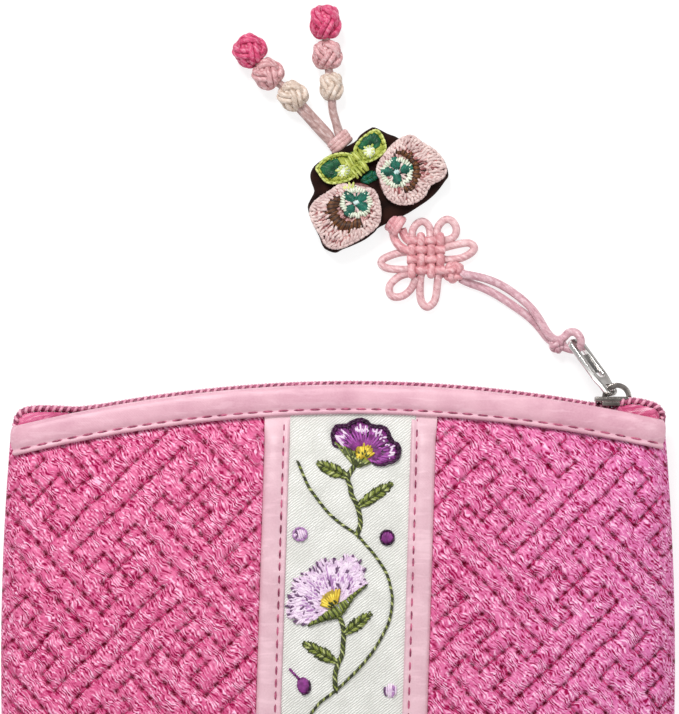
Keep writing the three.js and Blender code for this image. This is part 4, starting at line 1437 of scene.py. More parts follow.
def eased_path(path, step, rounds):
    """A path with even steps, its sharp turns rounded off and its ends kept"""
    lengths = lengths_along(path)
    at = np.linspace(0, lengths[-1], int(lengths[-1] / step) + 1)
    even = np.stack([np.interp(at, lengths, path[:, i]) for i in range(3)], -1)
    for _ in range(rounds):
        even[1:-1] = even[1:-1] / 2 + (even[:-2] + even[2:]) / 4
    return even


def limp_cord(name, path, material):
    """A cord that runs along a path, and its length in metres"""
    data = strand_curve(name, [path], CORD_D, 4)
    cord = in_scene(name, data)
    data.materials.append(material)
    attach(cord, "root")
    return cord, line_length(path) * MM


def make_loop_cord():
    ring = ring_points()
    knot = Vector(RING_KNOT)
    first, last = Vector(ring[0]), Vector(ring[-1])
    upper_end = Vector(UPPER_STRAND[0])
    if (first - upper_end).length > (last - upper_end).length:
        ring = ring[::-1]
    route = [
        *LOWER_STRAND[::-1],
        tuple(knot + Vector((-0.5, 0.2, -0.4))),
        *ring[::-1],
        tuple(knot + Vector((-0.1, 0.6, 0.6))),
        *UPPER_STRAND,
    ]
    path = eased_path(smooth_path(route, 4), 0.35, 16)
    cord, length = limp_cord("loop_cord", path, pink_cord)
    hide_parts("cord_ring", "cord_strand_upper", "cord_strand_lower")
    return cord, length


def turned(points, centre, radii, turn, tilt=0.0):
    """Points of unit size as an egg at a place, tilted about X and then turned about Z"""
    leaning = Matrix.Rotation(turn, 4, "Z") @ Matrix.Rotation(tilt, 4, "X")
    place = Matrix.Translation(Vector(centre)) @ leaning @ Matrix.Diagonal((*radii, 1))
    return np.array([place @ Vector(p) for p in points])


BALL_HEIGHT = 0.86
BALL_REACH = 0.8
BALL_WEAVE = 0.14
CORE_SHARE = 0.84


def ball_knot_path(leads, bights, steps=150):
    """A strand woven round a ball, over and under itself"""
    path = []
    for k in range(steps):
        t = 2 * math.pi * k / steps
        height = BALL_HEIGHT * math.cos(bights * t)
        weave = BALL_WEAVE * math.sin((leads - 1) * bights * t)
        ring = math.sqrt(max(0.0, 1 - height * height))
        reach = BALL_REACH + weave
        x = reach * ring * math.cos(leads * t)
        y = reach * ring * math.sin(leads * t)
        path.append((x, y, reach * height))
    return path


def beside(path, centre, away):
    """A closed path moved sideways over the ball that it runs round"""
    ahead = np.roll(path, -1, axis=0) - np.roll(path, 1, axis=0)
    outward = path - np.array(centre)
    side = np.cross(ahead, outward)
    return path + side / np.linalg.norm(side, axis=1, keepdims=True) * away


def filled_knot(strands, centre, radii, turn, tilt=0.0):
    """The mesh of a knot's strands and of an egg that fills it"""
    mesh = curve_mesh(strands)
    bm = bmesh.new()
    bm.from_mesh(mesh)
    core = bmesh.ops.create_icosphere(bm, subdivisions=2, radius=1)
    for vertex in core["verts"]:
        spot = turned([vertex.co], centre, radii, turn, tilt)[0]
        vertex.co = Vector(spot * MM)
    bm.to_mesh(mesh)
    bm.free()
    return mesh


def knot_piece(name, centre, radii, turn, tilt, material, thick, leads=3, bights=4, plies=(0,)):
    """A knot of cord round a filled core, with one strand for each of plies, side by side"""
    inside = [(radius - thick / 2) / (BALL_REACH + BALL_WEAVE) for radius in radii]
    core = [radius * CORE_SHARE for radius in inside]
    path = turned(ball_knot_path(leads, bights), centre, inside, turn, tilt)
    strands = [beside(path, centre, ply) for ply in plies]
    data = strand_curve(f"{name}_cord", strands, thick, 2, closed=True)
    mesh = filled_knot(data, centre, core, turn, tilt)
    return finished(f"{name}_cord", mesh, material, SLOT_OF[material], name)


def make_flower_knot():
    strands = []
    low_y, high_y = WEAVE_ROWS[-1] - WEAVE_OVER, WEAVE_ROWS[0] + WEAVE_OVER
    low_x, high_x = WEAVE_COLUMNS[0] - WEAVE_OVER, WEAVE_COLUMNS[-1] + WEAVE_OVER
    for i, x in enumerate(WEAVE_COLUMNS):
        y = np.linspace(low_y, high_y, WEAVE_STEPS)
        wave = np.cos(math.pi * np.interp(y, WEAVE_ROWS[::-1], [0, 1, 2, 3]) + math.pi * i)
        wave[np.abs(y - (low_y + high_y) / 2) > 3.4] *= 0.4
        z = WEAVE_Z + WEAVE_RISE * wave + WEAVE_LIFT
        strands.append(np.stack([np.full(WEAVE_STEPS, x), y, z], -1))
    for j, y in enumerate(WEAVE_ROWS):
        x = np.linspace(low_x, high_x, WEAVE_STEPS)
        wave = np.cos(math.pi * np.interp(x, WEAVE_COLUMNS, [0, 1, 2, 3]) + math.pi * j)
        z = WEAVE_Z + WEAVE_RISE * wave + WEAVE_LIFT
        strands.append(np.stack([x, np.full(WEAVE_STEPS, y), z], -1))
    petals = []
    for petal in PETALS:
        flat = np.array(petal)
        height = np.full(len(flat), PETAL_Z)
        height[0] = WEAVE_Z
        height[-1] = WEAVE_Z
        petals.append(smooth_path(np.column_stack([flat, height]), 7))
    for cord in CORNER_CORDS:
        strands.append(smooth_path(cord, 6))
    for x in np.array(WEAVE_COLUMNS[:-1]) + 0.85:
        strands.append(np.array([(x, low_y + 0.4, 1.0), (x, high_y - 0.4, 1.0)]))
    weave = strand_piece("flower_weave", strands, WEAVE_D, knot_cord, "cord", "flower_knot", 3)
    return [weave, strand_piece("flower_petals", petals, PETAL_D, petal_cord, "cord", round_steps=3)]


HEAD_KNOT = (0.35, 88.95, 1.7)
LEFT_ANTENNA = [(-1.75, 90.5, 1.75), (-3.2, 92.1, 2.0), (-4.8, 93.8, 2.3), (-5.9, 95.0, 2.5)]
RIGHT_ANTENNA = [(0.0, 90.85, 1.75), (-0.4, 92.6, 2.0), (-0.9, 94.4, 2.2), (-1.1, 96.0, 2.35)]
BUDS = [
    ("bud_left_cream", (-8.2, 97.3), (2.85, 2.8, 2.7), 48, cream_cord),
    ("bud_left_light", (-12.7, 101.3), (3.05, 2.8, 2.9), 48, light_cord),
    ("bud_left_deep", (-16.0, 105.5), (3.3, 3.0, 3.0), 48, deep_cord),
    ("bud_right_cream", (-1.2, 99.0), (2.25, 2.75, 2.4), 4, cream_cord),
    ("bud_right_light", (-1.95, 104.7), (2.95, 2.75, 2.8), 4, light_cord),
    ("bud_right_deep", (-2.3, 110.6), (3.05, 3.35, 3.1), 4, deep_cord),
]
BUD_CORD_D = 1.05
BUD_PLIES = (-0.5, 0.5)
LEFT_STEM_END = [(-16.3, 105.5, 3.0), (-12.5, 101.1, 2.85), (-8.05, 97.4, 2.65)]
RIGHT_STEM_END = [(-1.2, 98.8, 2.45), (-1.95, 104.35, 2.85), (-2.3, 111.0, 3.15)]
UNDER_HEAD = [
    (-1.35, 89.9, 1.7), (-1.05, 89.3, 1.7), (-0.5, 89.05, 1.7), (0.1, 89.3, 1.7), (0.25, 89.95, 1.7),
]
LEFT_DOUBLE = [
    (-7.6, 95.6, 2.4), (-5.4, 93.2, 2.3), (-3.9, 91.5, 2.0), (-2.3, 89.8, 1.75), (-0.8, 88.3, 1.7),
]
RIGHT_DOUBLE = [
    (-1.15, 98.0, 1.4), (-0.95, 94.6, 1.3), (-0.4, 92.6, 1.2), (0.3, 90.6, 1.1), (0.6, 89.2, 1.1),
]
SLOT_OF = {
    pink_cord: "cord",
    knot_cord: "cord",
    cream_cord: "cream_cord",
    light_cord: "light_pink_cord",
    deep_cord: "deep_pink_cord",
}


def make_antennae():
    buds = []
    for name, (x, y), radii, turn, material in BUDS:
        centre = (x, y, radii[2] + 0.05)
        shape = (radii[0], radii[2], radii[1] * 1.1)
        turn = math.radians(turn)
        bud = knot_piece(name, centre, shape, turn, -math.pi / 2, material, BUD_CORD_D, plies=BUD_PLIES)
        buds.append(bud)
    route = [*LEFT_STEM_END, *LEFT_ANTENNA[::-1], *UNDER_HEAD, *RIGHT_ANTENNA, *RIGHT_STEM_END]
    cord, length = limp_cord("antenna_cord", smooth_path(route, 5), dusty_cord)
    doubles = [smooth_path(LEFT_DOUBLE, 6), smooth_path(RIGHT_DOUBLE, 6)]
    pair = strand_piece("antenna_doubles", doubles, CORD_D, dusty_cord, "cord", round_steps=3)
    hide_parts("antenna_stem_left", "antenna_stem_right")
    return cord, length, [*buds, pair]


def wrapped_knot(name, centre, across, tall, step, turn, material, thick, solid):
    """Three turns of cord round an axis, with the cords inside them"""
    turns = []
    for k in range(3):
        ring = []
        for angle in np.linspace(0, 2 * math.pi, 40, endpoint=False):
            lean = 0.25 * math.cos(angle)
            ring.append((across * math.cos(angle), step * (k - 1) + lean, tall * math.sin(angle)))
        turns.append(turned(ring, centre, (1, 1, 1), turn))
    rings = strand_curve(name, turns, thick, 3, closed=True)
    mesh = filled_knot(rings, centre, (across * 0.9, step * 1.7, tall), turn)
    return finished(name, mesh, material, "cord", solid)


WRAP_D = 1.25


def make_head_knot():
    return wrapped_knot(
        "head_wraps",
        HEAD_KNOT,
        across=1.72,
        tall=0.95,
        step=0.72,
        turn=math.radians(33),
        material=dusty_pink,
        thick=WRAP_D,
        solid="head_knot",
    )


def make_upper_knot():
    return wrapped_knot(
        "upper_wraps",
        UPPER_KNOT,
        across=1.45,
        tall=1.0,
        step=0.8,
        turn=math.radians(48),
        material=knot_cord,
        thick=WRAP_D,
        solid="flower_upper_knot",
    )


def make_ring_knot():
    radii = (1.75, 1.75, 1.7)
    return knot_piece("cord_ring_knot", RING_KNOT, radii, 0.9, 0.5, material=pink_cord, thick=1.1)


def make_lower_knot():
    radii = (2.3, 2.25, 1.65)
    return knot_piece("flower_lower_knot", LOWER_KNOT, radii, 0.5, 0.4, material=knot_cord, thick=1.2)


# Butterfly

PAD_OUTLINE = [
    (6.7, 91.6), (8.9, 90.5), (10.3, 90.0), (11.2, 89.6), (12.5, 90.1), (13.4, 90.1), (14.8, 89.1),
    (16.7, 87.8), (18.4, 86.6), (19.4, 85.3), (20.0, 83.0), (19.4, 81.9), (17.9, 79.9), (16.4, 78.5),
    (14.8, 77.4), (13.4, 76.5), (12.2, 75.8), (7.6, 73.6), (6.7, 72.7), (4.9, 71.3), (2.6, 70.2),
    (0.8, 69.5), (-0.5, 68.9), (-2.2, 69.5), (-2.9, 70.4), (-3.4, 71.8), (-4.3, 73.6), (-4.9, 74.9),
    (-5.5, 77.2), (-4.9, 78.7), (-4.3, 80.1), (-4.9, 81.9), (-5.0, 83.2), (-4.3, 84.6), (-2.5, 86.0),
    (-1.0, 86.9), (2.9, 88.9), (4.0, 90.2), (5.6, 91.3),
]
LOWER_WINGS = {
    "right": [
        (7.6, 84.6), (9.7, 88.2), (13.0, 90.0), (16.2, 88.0), (18.9, 85.5), (19.4, 83.3), (16.9, 81.5),
        (14.8, 78.7), (12.1, 77.8), (9.4, 78.8), (7.6, 80.8),
    ],
    "left": [
        (4.0, 81.5), (0.0, 80.8), (-3.6, 78.3), (-4.9, 75.4), (-3.6, 72.5), (-2.2, 70.0), (0.4, 70.0),
        (4.3, 71.6), (7.2, 74.0), (7.6, 77.4), (6.5, 80.1),
    ],
}
UPPER_WINGS = {
    "right": [
        (2.9, 87.5), (3.5, 88.7), (5.3, 90.2), (7.1, 91.1), (8.0, 90.2), (8.5, 88.9), (8.5, 87.5),
        (7.1, 86.2), (5.8, 85.4), (4.1, 85.1), (3.1, 86.0),
    ],
    "left": [
        (-4.0, 84.2), (-2.3, 86.0), (0.2, 86.9), (2.2, 86.6), (3.8, 85.5), (4.0, 83.7), (2.2, 81.9),
        (-0.1, 81.5), (-2.3, 81.7), (-3.4, 82.8),
    ],
}
BODY_OUTLINE = [(1.5, 86.0), (2.6, 87.2), (4.4, 85.5), (5.4, 84.1), (4.7, 83.2), (3.7, 83.2), (2.6, 84.6)]
PAD_FOOT = 0.1
PAD_HEIGHT = 3.2
PAD_TOP = 3.3
WING_T = 0.9
BODY_T = 0.84
PAD_RIM = 1.2
WING_RIM = 0.4
BODY_RIM = 0.3


def raised_plate(name, outline, per_span, foot, thick, rim, rim_steps):
    """A plate with a smoothed outline and rounded rims that stands on a height"""
    mesh = flat_outline(name, [smooth_path(outline, per_span, True)], thick, rim, rim_steps)
    mesh.transform(Matrix.Translation((0, 0, (foot + thick / 2) * MM)))
    return mesh


def make_butterfly():
    pad = raised_plate("butterfly_felt", PAD_OUTLINE, 3, PAD_FOOT, PAD_HEIGHT, PAD_RIM, 5)
    made = [finished("butterfly_felt", pad, felt, "butterfly_ground", "butterfly_pad")]
    # The wing grounds carry painted shade for the gaps between their threads
    for tier, outlines, material, slot in (
        ("lower", LOWER_WINGS, pink_ground_painted_shade, "pink_thread"),
        ("upper", UPPER_WINGS, lime_ground_painted_shade, "green_thread"),
    ):
        for side, outline in outlines.items():
            name = f"butterfly_{tier}_wing_{side}"
            wing = raised_plate(f"{name}_ground", outline, 4, PAD_TOP, WING_T, WING_RIM, 3)
            made.append(finished(f"{name}_ground", wing, material, slot, name))
    body = raised_plate("butterfly_body_ground", BODY_OUTLINE, 4, PAD_TOP, BODY_T, BODY_RIM, 3)
    made.append(finished("butterfly_body_ground", body, lime_ground_painted_shade, "green_thread"))
    return made


# Painted shade: the grounds under the wing threads are much darker than the threads, so the gaps read as
# shade
pink_ground_painted_shade = make_thread("pink_ground_painted_shade", (140, 92, 88), (92, 52, 50))
lime_ground_painted_shade = make_thread("lime_ground_painted_shade", (96, 112, 36), (58, 74, 20))


# Embroidery

THREAD_W = 0.44
ROSE_THREAD_W = 0.56
CHARM_FROM_Y = 60
HOLE_SHARES = np.array([0, 0.15, 0.5, 0.85, 1])
HOLE_BOW = np.array([-0.7, 0.5, 1, 0.5, -0.7])
STEM_COLOURS = ("vine", "olive", "vine", "dark_olive", "pale_olive", "vine", "dark_olive")
VINE_COLOURS = ("vine", "vine", "olive", "vine", "dark_olive", "pale_olive")
LEAF_COLOURS = ("olive", "dark_olive", "pale_olive")
threads = {}


def sew(colour, strokes):
    threads.setdefault(colour, []).extend(strokes)


def along_line(line, shares):
    """Places at these shares of the way along a line"""
    line = np.array(line, float)
    lengths = lengths_along(line)
    at = np.asarray(shares) * lengths[-1]
    return np.stack([np.interp(at, lengths, line[:, i]) for i in range(line.shape[1])], -1)


def middles(count):
    """The middles of so many equal shares of a way"""
    return (np.arange(count) + 0.5) / count


def unit(run):
    return run / np.linalg.norm(run)


def leftward(run):
    return np.array([-run[1], run[0]])


def stitch(start, end, ground, lift=0.08, bow=0.22):
    """One thread from hole to hole over a ground"""
    start = np.array(start, float)
    end = np.array(end, float)
    flat = start + (end - start) * HOLE_SHARES[:, None]
    return np.column_stack([flat, ground(flat[:, 0], flat[:, 1]) + lift + HOLE_BOW * bow])


def fan(centre, rim, inner, outer, count, ground, ragged=0.05, lift=0.08, bow=0.22, slant=0.0):
    """Threads that run out from a centre to a rim, between two shares of the way"""
    centre = np.array(centre, float)
    strokes = []
    for point in along_line(smooth_path(rim, 4), middles(count)):
        reach = point - centre
        aside = leftward(reach) * wobble(slant)
        start = centre + reach * (inner + wobble(ragged)) - aside
        end = centre + reach * (outer + wobble(ragged)) + aside
        strokes.append(stitch(start, end, ground, lift + wobble(0.03), bow))
    return strokes


def sew_fans(centre, rim, ground, layers):
    """Fans over one another: each has a colour, two shares of the way, a count, raggedness and a lift"""
    for colour, inner, outer, count, ragged, lift in layers:
        sew(colour, fan(centre, rim, inner, outer, count, ground, ragged, lift))


def shrunk(line, centre, share):
    """A line drawn in towards a centre"""
    centre = np.array(centre, float)
    return [tuple(centre + (np.array(point) - centre) * share) for point in line]


def back_stitch(line, length, ground, gap=0.1, lift=0.12):
    """Threads end to end along a line"""
    path = smooth_path(line, 6)
    count = max(2, round(line_length(path) / length))
    strokes = []
    for k in range(count):
        ends = along_line(path, [(k + gap / 2) / count, (k + 1 - gap / 2) / count])
        strokes.append(stitch(ends[0], ends[1], ground, lift))
    return strokes


def stem_stitch(line, ground, colours, length=1.4, step=0.36, slant=0.34):
    """Slanting threads side by side along a stem, in turns of colour"""
    path = smooth_path(line, 6)
    count = round(line_length(path) / step)
    for k in range(count):
        before, after = along_line(path, [k / count, (k + 1) / count])
        run = unit(after - before)
        aside = leftward(run) * slant
        middle = (before + after) / 2
        start = middle - run * length / 2 - aside
        end = middle + run * length / 2 + aside
        sew(colours[k % len(colours)], [stitch(start, end, ground, 0.14)])


def leaf(base, tip, half, ground, colours, count=15):
    """Slanting threads from a leaf's rib to its two edges"""
    base = np.array(base, float)
    tip = np.array(tip, float)
    run = tip - base
    side = unit(leftward(run))
    for sign in (-1, 1):
        for k in range(count):
            share = (k + 0.5) / count
            width = half * math.sin(math.pi * share**0.85) ** 0.8
            rib = base + run * max(0, share - 0.1)
            edge = base + run * min(1, share + 0.06) + side * sign * width
            # Painted shade: dark threads laid under the lighter ones darken the gaps between them
            sew(colours[1], [stitch(rib, edge + side * wobble(0.22), ground, 0.06)])
            if k % 3:
                start = rib + (edge - rib) * 0.12
                end = rib + (edge - rib) * (0.85 + wobble(0.15))
                sew(colours[2 if k % 6 == 1 else 0], [stitch(start, end, ground, 0.16)])
    sew(colours[1], back_stitch([base, base + run * 0.5, tip], 1.2, ground, lift=0.24))


def oval(centre, across, tall, turn, ground, colour, count=8, lift=0.1):
    """A round spot of threads side by side"""
    centre = np.array(centre, float)
    run = np.array([math.cos(turn), math.sin(turn)])
    side = leftward(run)
    for share in 2 * middles(count) - 1:
        reach = tall * math.sqrt(1 - share * share)
        middle = centre + run * across * share
        start = middle - side * (reach + wobble(0.1))
        end = middle + side * (reach + wobble(0.1))
        sew(colour, [stitch(start, end, ground, lift)])


def circle(centre, across, tall, count=16):
    points = []
    for k in range(count + 1):
        angle = 2 * math.pi * k / count
        points.append((centre[0] + across * math.cos(angle), centre[1] + tall * math.sin(angle)))
    return points


PURPLE_CENTRE = (4.7, 32.4)
PURPLE_RIM = [
    (-1.0, 35.1), (-1.2, 36.3), (-0.5, 37.7), (0.2, 37.9), (1.5, 37.8), (2.5, 38.5), (3.9, 39.0),
    (5.0, 38.8), (5.7, 38.0), (6.5, 37.7), (8.0, 37.7), (8.9, 37.1), (9.5, 35.7), (9.6, 34.9),
    (10.5, 34.8), (11.2, 34.0), (11.1, 32.7), (10.6, 31.4), (9.1, 31.0), (7.7, 30.5), (6.3, 31.0),
]
LILAC_CENTRE = (-0.7, 5.3)
LILAC_RIM = [
    (-5.3, 2.3), (-6.8, 2.3), (-8.7, 3.6), (-9.3, 5.7), (-8.3, 7.9), (-8.0, 9.8), (-6.6, 11.2),
    (-5.0, 12.1), (-3.7, 13.3), (-1.9, 13.7), (0.2, 14.1), (2.2, 14.6), (3.7, 13.5), (4.7, 12.1),
    (4.7, 10.8), (4.9, 9.4),
]
VINE = [
    (-7.2, 31.3), (-6.5, 29.6), (-5.3, 26.9), (-3.9, 24.9), (-2.2, 22.7), (-0.7, 21.2), (1.1, 19.8),
    (3.4, 18.2), (5.1, 16.3), (6.4, 14.8), (8.6, 11.5), (9.5, 8.4), (9.7, 6.1), (9.2, 3.0), (8.2, 0.7),
    (6.4, -2.4), (3.9, -5.5), (1.2, -8.2), (-1.1, -10.2), (-3.1, -11.7), (-5.0, -14.1), (-6.3, -17.2),
    (-6.6, -20.6), (-5.4, -24.6), (-2.6, -28.6), (0.8, -32.0), (3.8, -35.6), (5.4, -40.0),
]
PURPLE_STEM = [
    (3.1, 30.7), (2.1, 29.2), (1.8, 28.1), (2.2, 26.7), (2.5, 25.3), (3.5, 23.2), (4.0, 20.4), (3.4, 18.2),
]
LILAC_STEM = [
    (0.1, 3.8), (0.7, 2.4), (1.0, 0.7), (0.9, -1.3), (0.7, -3.2), (0.0, -4.9), (-0.5, -6.9), (-0.5, -9.6),
]
LILAC_CURLS = 300
LILAC_CUP_FOOT = [(-5.3, 2.0), (-2.1, 3.0), (0.1, 3.5), (1.4, 4.9), (2.9, 7.2), (5.1, 9.2)]
def sew_purple_flower():
    centre, rim = PURPLE_CENTRE, PURPLE_RIM
    petals = (
        # Painted shade: the plum layer under the purple darkens the gaps between its threads
        ("plum", 0.2, 0.97, 64, 0.02, 0.04),
        ("purple", 0.2, 0.62, 44, 0.06, 0.1),
        ("purple", 0.5, 0.94, 58, 0.06, 0.14),
        ("violet", 0.45, 0.8, 26, 0.14, 0.2),
    )
    sew_fans(centre, rim, panel_z, petals)
    # Painted highlights: pale lilac threads near the rim stand for gleams on the petals
    painted_gleams = ((0, 4, 0.64, 10), (5, 9, 0.62, 9), (9, 13, 0.66, 9), (13, 18, 0.68, 7))
    for first, last, inner, count in painted_gleams:
        sew("pale_lilac", fan(centre, rim[first:last], inner, 0.83, count, panel_z, 0.1, 0.22, slant=0.06))
    for notch in (rim[4], rim[8], rim[13]):
        inward = shrunk([notch], centre, 0.55)[0]
        halfway = (np.array(inward) + np.array(notch)) / 2
        sew("plum", back_stitch([inward, halfway, notch], 1.1, panel_z, lift=0.3))
    sew("plum", back_stitch(rim, 1.0, panel_z, gap=-0.2, lift=0.34))
    sew("plum", back_stitch(shrunk(rim, centre, 0.945), 0.9, panel_z, gap=-0.1, lift=0.38))
    sew("plum", back_stitch([rim[0], (-0.8, 34.2), (1.1, 33.5)], 1.0, panel_z, lift=0.2))
    cup = [(-0.6, 34.8), (1.5, 34.0), (2.8, 33.3), (3.8, 32.6), (4.8, 31.9), (6.3, 31.2)]
    cup_threads = (
        ("olive", 0.1, 1.0, 28, 0.08, 0.2),
        ("dark_olive", 0.2, 0.85, 15, 0.2, 0.3),
        ("pale_olive", 0.3, 0.8, 7, 0.2, 0.32),
    )
    sew_fans((3.3, 30.2), cup, panel_z, cup_threads)
    crown = [(2.9, 32.0), (3.3, 33.7), (4.8, 34.6), (6.1, 33.9), (6.5, 32.5)]
    crown_threads = (
        ("gold", 0.15, 0.94, 24, 0.16, 0.3),
        ("yellow", 0.3, 0.85, 11, 0.24, 0.4),
        ("dark_olive", 0.3, 0.6, 6, 0.2, 0.42),
    )
    sew_fans((4.6, 31.7), crown, panel_z, crown_threads)
    stem_stitch(PURPLE_STEM, panel_z, STEM_COLOURS)
    leaf((1.8, 28.5), (-3.8, 31.1), 1.15, panel_z, LEAF_COLOURS)
    leaf((3.5, 23.2), (9.8, 27.4), 1.1, panel_z, LEAF_COLOURS, 17)


def sew_lilac_flower():
    centre, rim = LILAC_CENTRE, LILAC_RIM
    petals = (
        ("pale_lilac", 0.2, 0.6, 64, 0.05, 0.04),
        ("pale_lilac", 0.48, 0.98, 90, 0.05, 0.06),
        ("lilac", 0.4, 0.8, 40, 0.2, 0.12),
    )
    sew_fans(centre, rim, panel_z, petals)
    for k in range(LILAC_CURLS):
        share = math.sqrt(chance.uniform(0.1, 0.92))
        point = along_line(shrunk(rim, centre, share), [chance.random()])[0]
        out = unit(point - np.array(centre))
        curl = out * 0.62 + np.array([wobble(0.4), wobble(0.4)])
        colour = "mauve" if k % 8 == 0 else "pale_lilac"
        sew(colour, [stitch(point - curl, point + curl, panel_z, 0.18 + wobble(0.06))])
    sew("mauve", fan(centre, rim, 0.97, 1.03, 17, panel_z, 0.03, 0.16))
    sew("mauve", fan(centre, rim[2:12], 0.9, 0.97, 9, panel_z, 0.05, 0.2))
    edge = [(-5.3, 2.2), (-2.7, 4.3), (-0.7, 5.2), (1.2, 6.7), (5.0, 9.4)]
    shares = middles(40)
    for k, (top, foot) in enumerate(zip(along_line(edge, shares), along_line(LILAC_CUP_FOOT, shares))):
        colour = "dark_olive" if k % 3 == 0 else "olive"
        sew(colour, [stitch(top + wobble(0.2), foot + wobble(0.2), panel_z, 0.24)])
    sew("dark_olive", back_stitch(LILAC_CUP_FOOT, 1.1, panel_z, lift=0.3))
    crown = [(-3.3, 5.6), (-2.9, 7.3), (-1.2, 8.5), (0.6, 8.6)]
    crown_threads = (
        ("gold", 0.25, 0.98, 22, 0.06, 0.32),
        ("yellow", 0.35, 0.9, 9, 0.16, 0.42),
        ("dark_olive", 0.3, 0.5, 5, 0.16, 0.44),
    )
    sew_fans((-0.5, 5.0), crown, panel_z, crown_threads)
    stem_stitch(LILAC_STEM, panel_z, STEM_COLOURS)
    leaf((1.0, 0.4), (6.0, 4.2), 1.0, panel_z, LEAF_COLOURS, 14)
    leaf((0.0, -4.7), (-6.3, -1.1), 1.05, panel_z, LEAF_COLOURS, 16)


def sew_vine():
    stem_stitch(VINE, panel_z, VINE_COLOURS, length=0.85, step=0.48, slant=0.1)
    oval((-6.8, 18.3), 1.2, 1.1, 0.3, panel_z, "pale_lilac", 6)
    sew("lilac", back_stitch(circle((-6.8, 18.3), 1.25, 1.15), 0.9, panel_z, gap=0.2, lift=0.2))
    sew("mauve", back_stitch([(-7.6, 18.9), (-7.2, 18.2), (-7.5, 17.6)], 0.9, panel_z, lift=0.24))
    oval((8.8, 17.7), 1.15, 1.25, 0.2, panel_z, "purple")
    sew("plum", back_stitch(circle((8.8, 17.7), 1.2, 1.3), 0.9, panel_z, gap=0.15, lift=0.22))
    oval((9.5, -9.7), 1.0, 1.3, 0.0, panel_z, "pale_lilac", 5)
    sew("mauve", back_stitch([(8.4, -9.0), (8.3, -9.8), (8.6, -10.6)], 0.8, panel_z))
    sew("lilac", back_stitch([(9.9, -8.7), (10.0, -9.8), (9.7, -10.8)], 1.0, panel_z, lift=0.24))
    oval((-6.1, -8.8), 1.1, 1.55, 0.4, panel_z, "purple", 10)
    shadow = [(-5.2, -7.9), (-5.0, -9.2), (-5.6, -10.2), (-6.5, -10.2)]
    sew("plum", back_stitch(shadow, 0.9, panel_z, lift=0.22))
    sew("purple", back_stitch([(-6.9, -7.6), (-7.9, -6.6), (-8.7, -5.7)], 0.9, panel_z))
    leaf((-5.9, -23.2), (0.2, -20.4), 1.05, panel_z, LEAF_COLOURS)
    leaf((-0.6, -30.8), (-6.6, -33.6), 1.05, panel_z, LEAF_COLOURS)
    oval((6.6, -26.5), 1.0, 1.1, 0.3, panel_z, "lilac")


def wing_z(x, y):
    return np.full_like(x, PAD_TOP + WING_T - 0.02)


def pad_z(x, y):
    return np.full_like(x, PAD_TOP)


WING_RIMS = {
    "right": [
        (7.7, 82.3), (7.0, 83.7), (7.7, 85.5), (9.4, 87.8), (11.2, 89.3), (13.3, 90.0), (15.1, 88.7),
        (16.9, 87.7), (18.5, 86.2), (19.4, 84.4), (19.4, 83.2), (18.4, 82.1), (16.6, 81.2), (15.7, 79.4),
        (14.4, 78.3), (12.6, 77.7), (10.4, 77.9), (8.6, 79.4), (7.7, 82.3),
    ],
    "left": [
        (5.0, 80.5), (6.5, 80.1), (7.4, 77.9), (7.6, 75.8), (7.2, 74.0), (5.4, 72.4), (2.9, 70.9),
        (0.4, 69.8), (-1.8, 70.0), (-3.1, 72.2), (-4.3, 74.0), (-5.0, 76.1), (-4.5, 77.6), (-2.9, 79.0),
        (-1.1, 80.1), (0.7, 81.2), (5.0, 80.5),
    ],
}
WING_CENTRES = {"right": (10.6, 83.4), "left": (3.3, 77.9)}
BROWN_ARCS = {
    "right": [
        (10.4, 87.0), (12.2, 86.9), (13.4, 85.6), (14.1, 84.1), (14.1, 82.6), (13.5, 81.1), (12.0, 80.0),
    ],
    "left": [(0.0, 78.9), (-1.0, 77.3), (-0.9, 75.6), (0.2, 74.3), (2.2, 73.7), (4.3, 74.2)],
}
TEAL_SPOTS = {
    "right": [(10.3, 85.0), (12.4, 84.0), (10.7, 82.3), (8.9, 83.5)],
    "left": [(4.5, 79.0), (2.0, 79.0), (2.1, 76.5), (4.4, 77.2)],
}


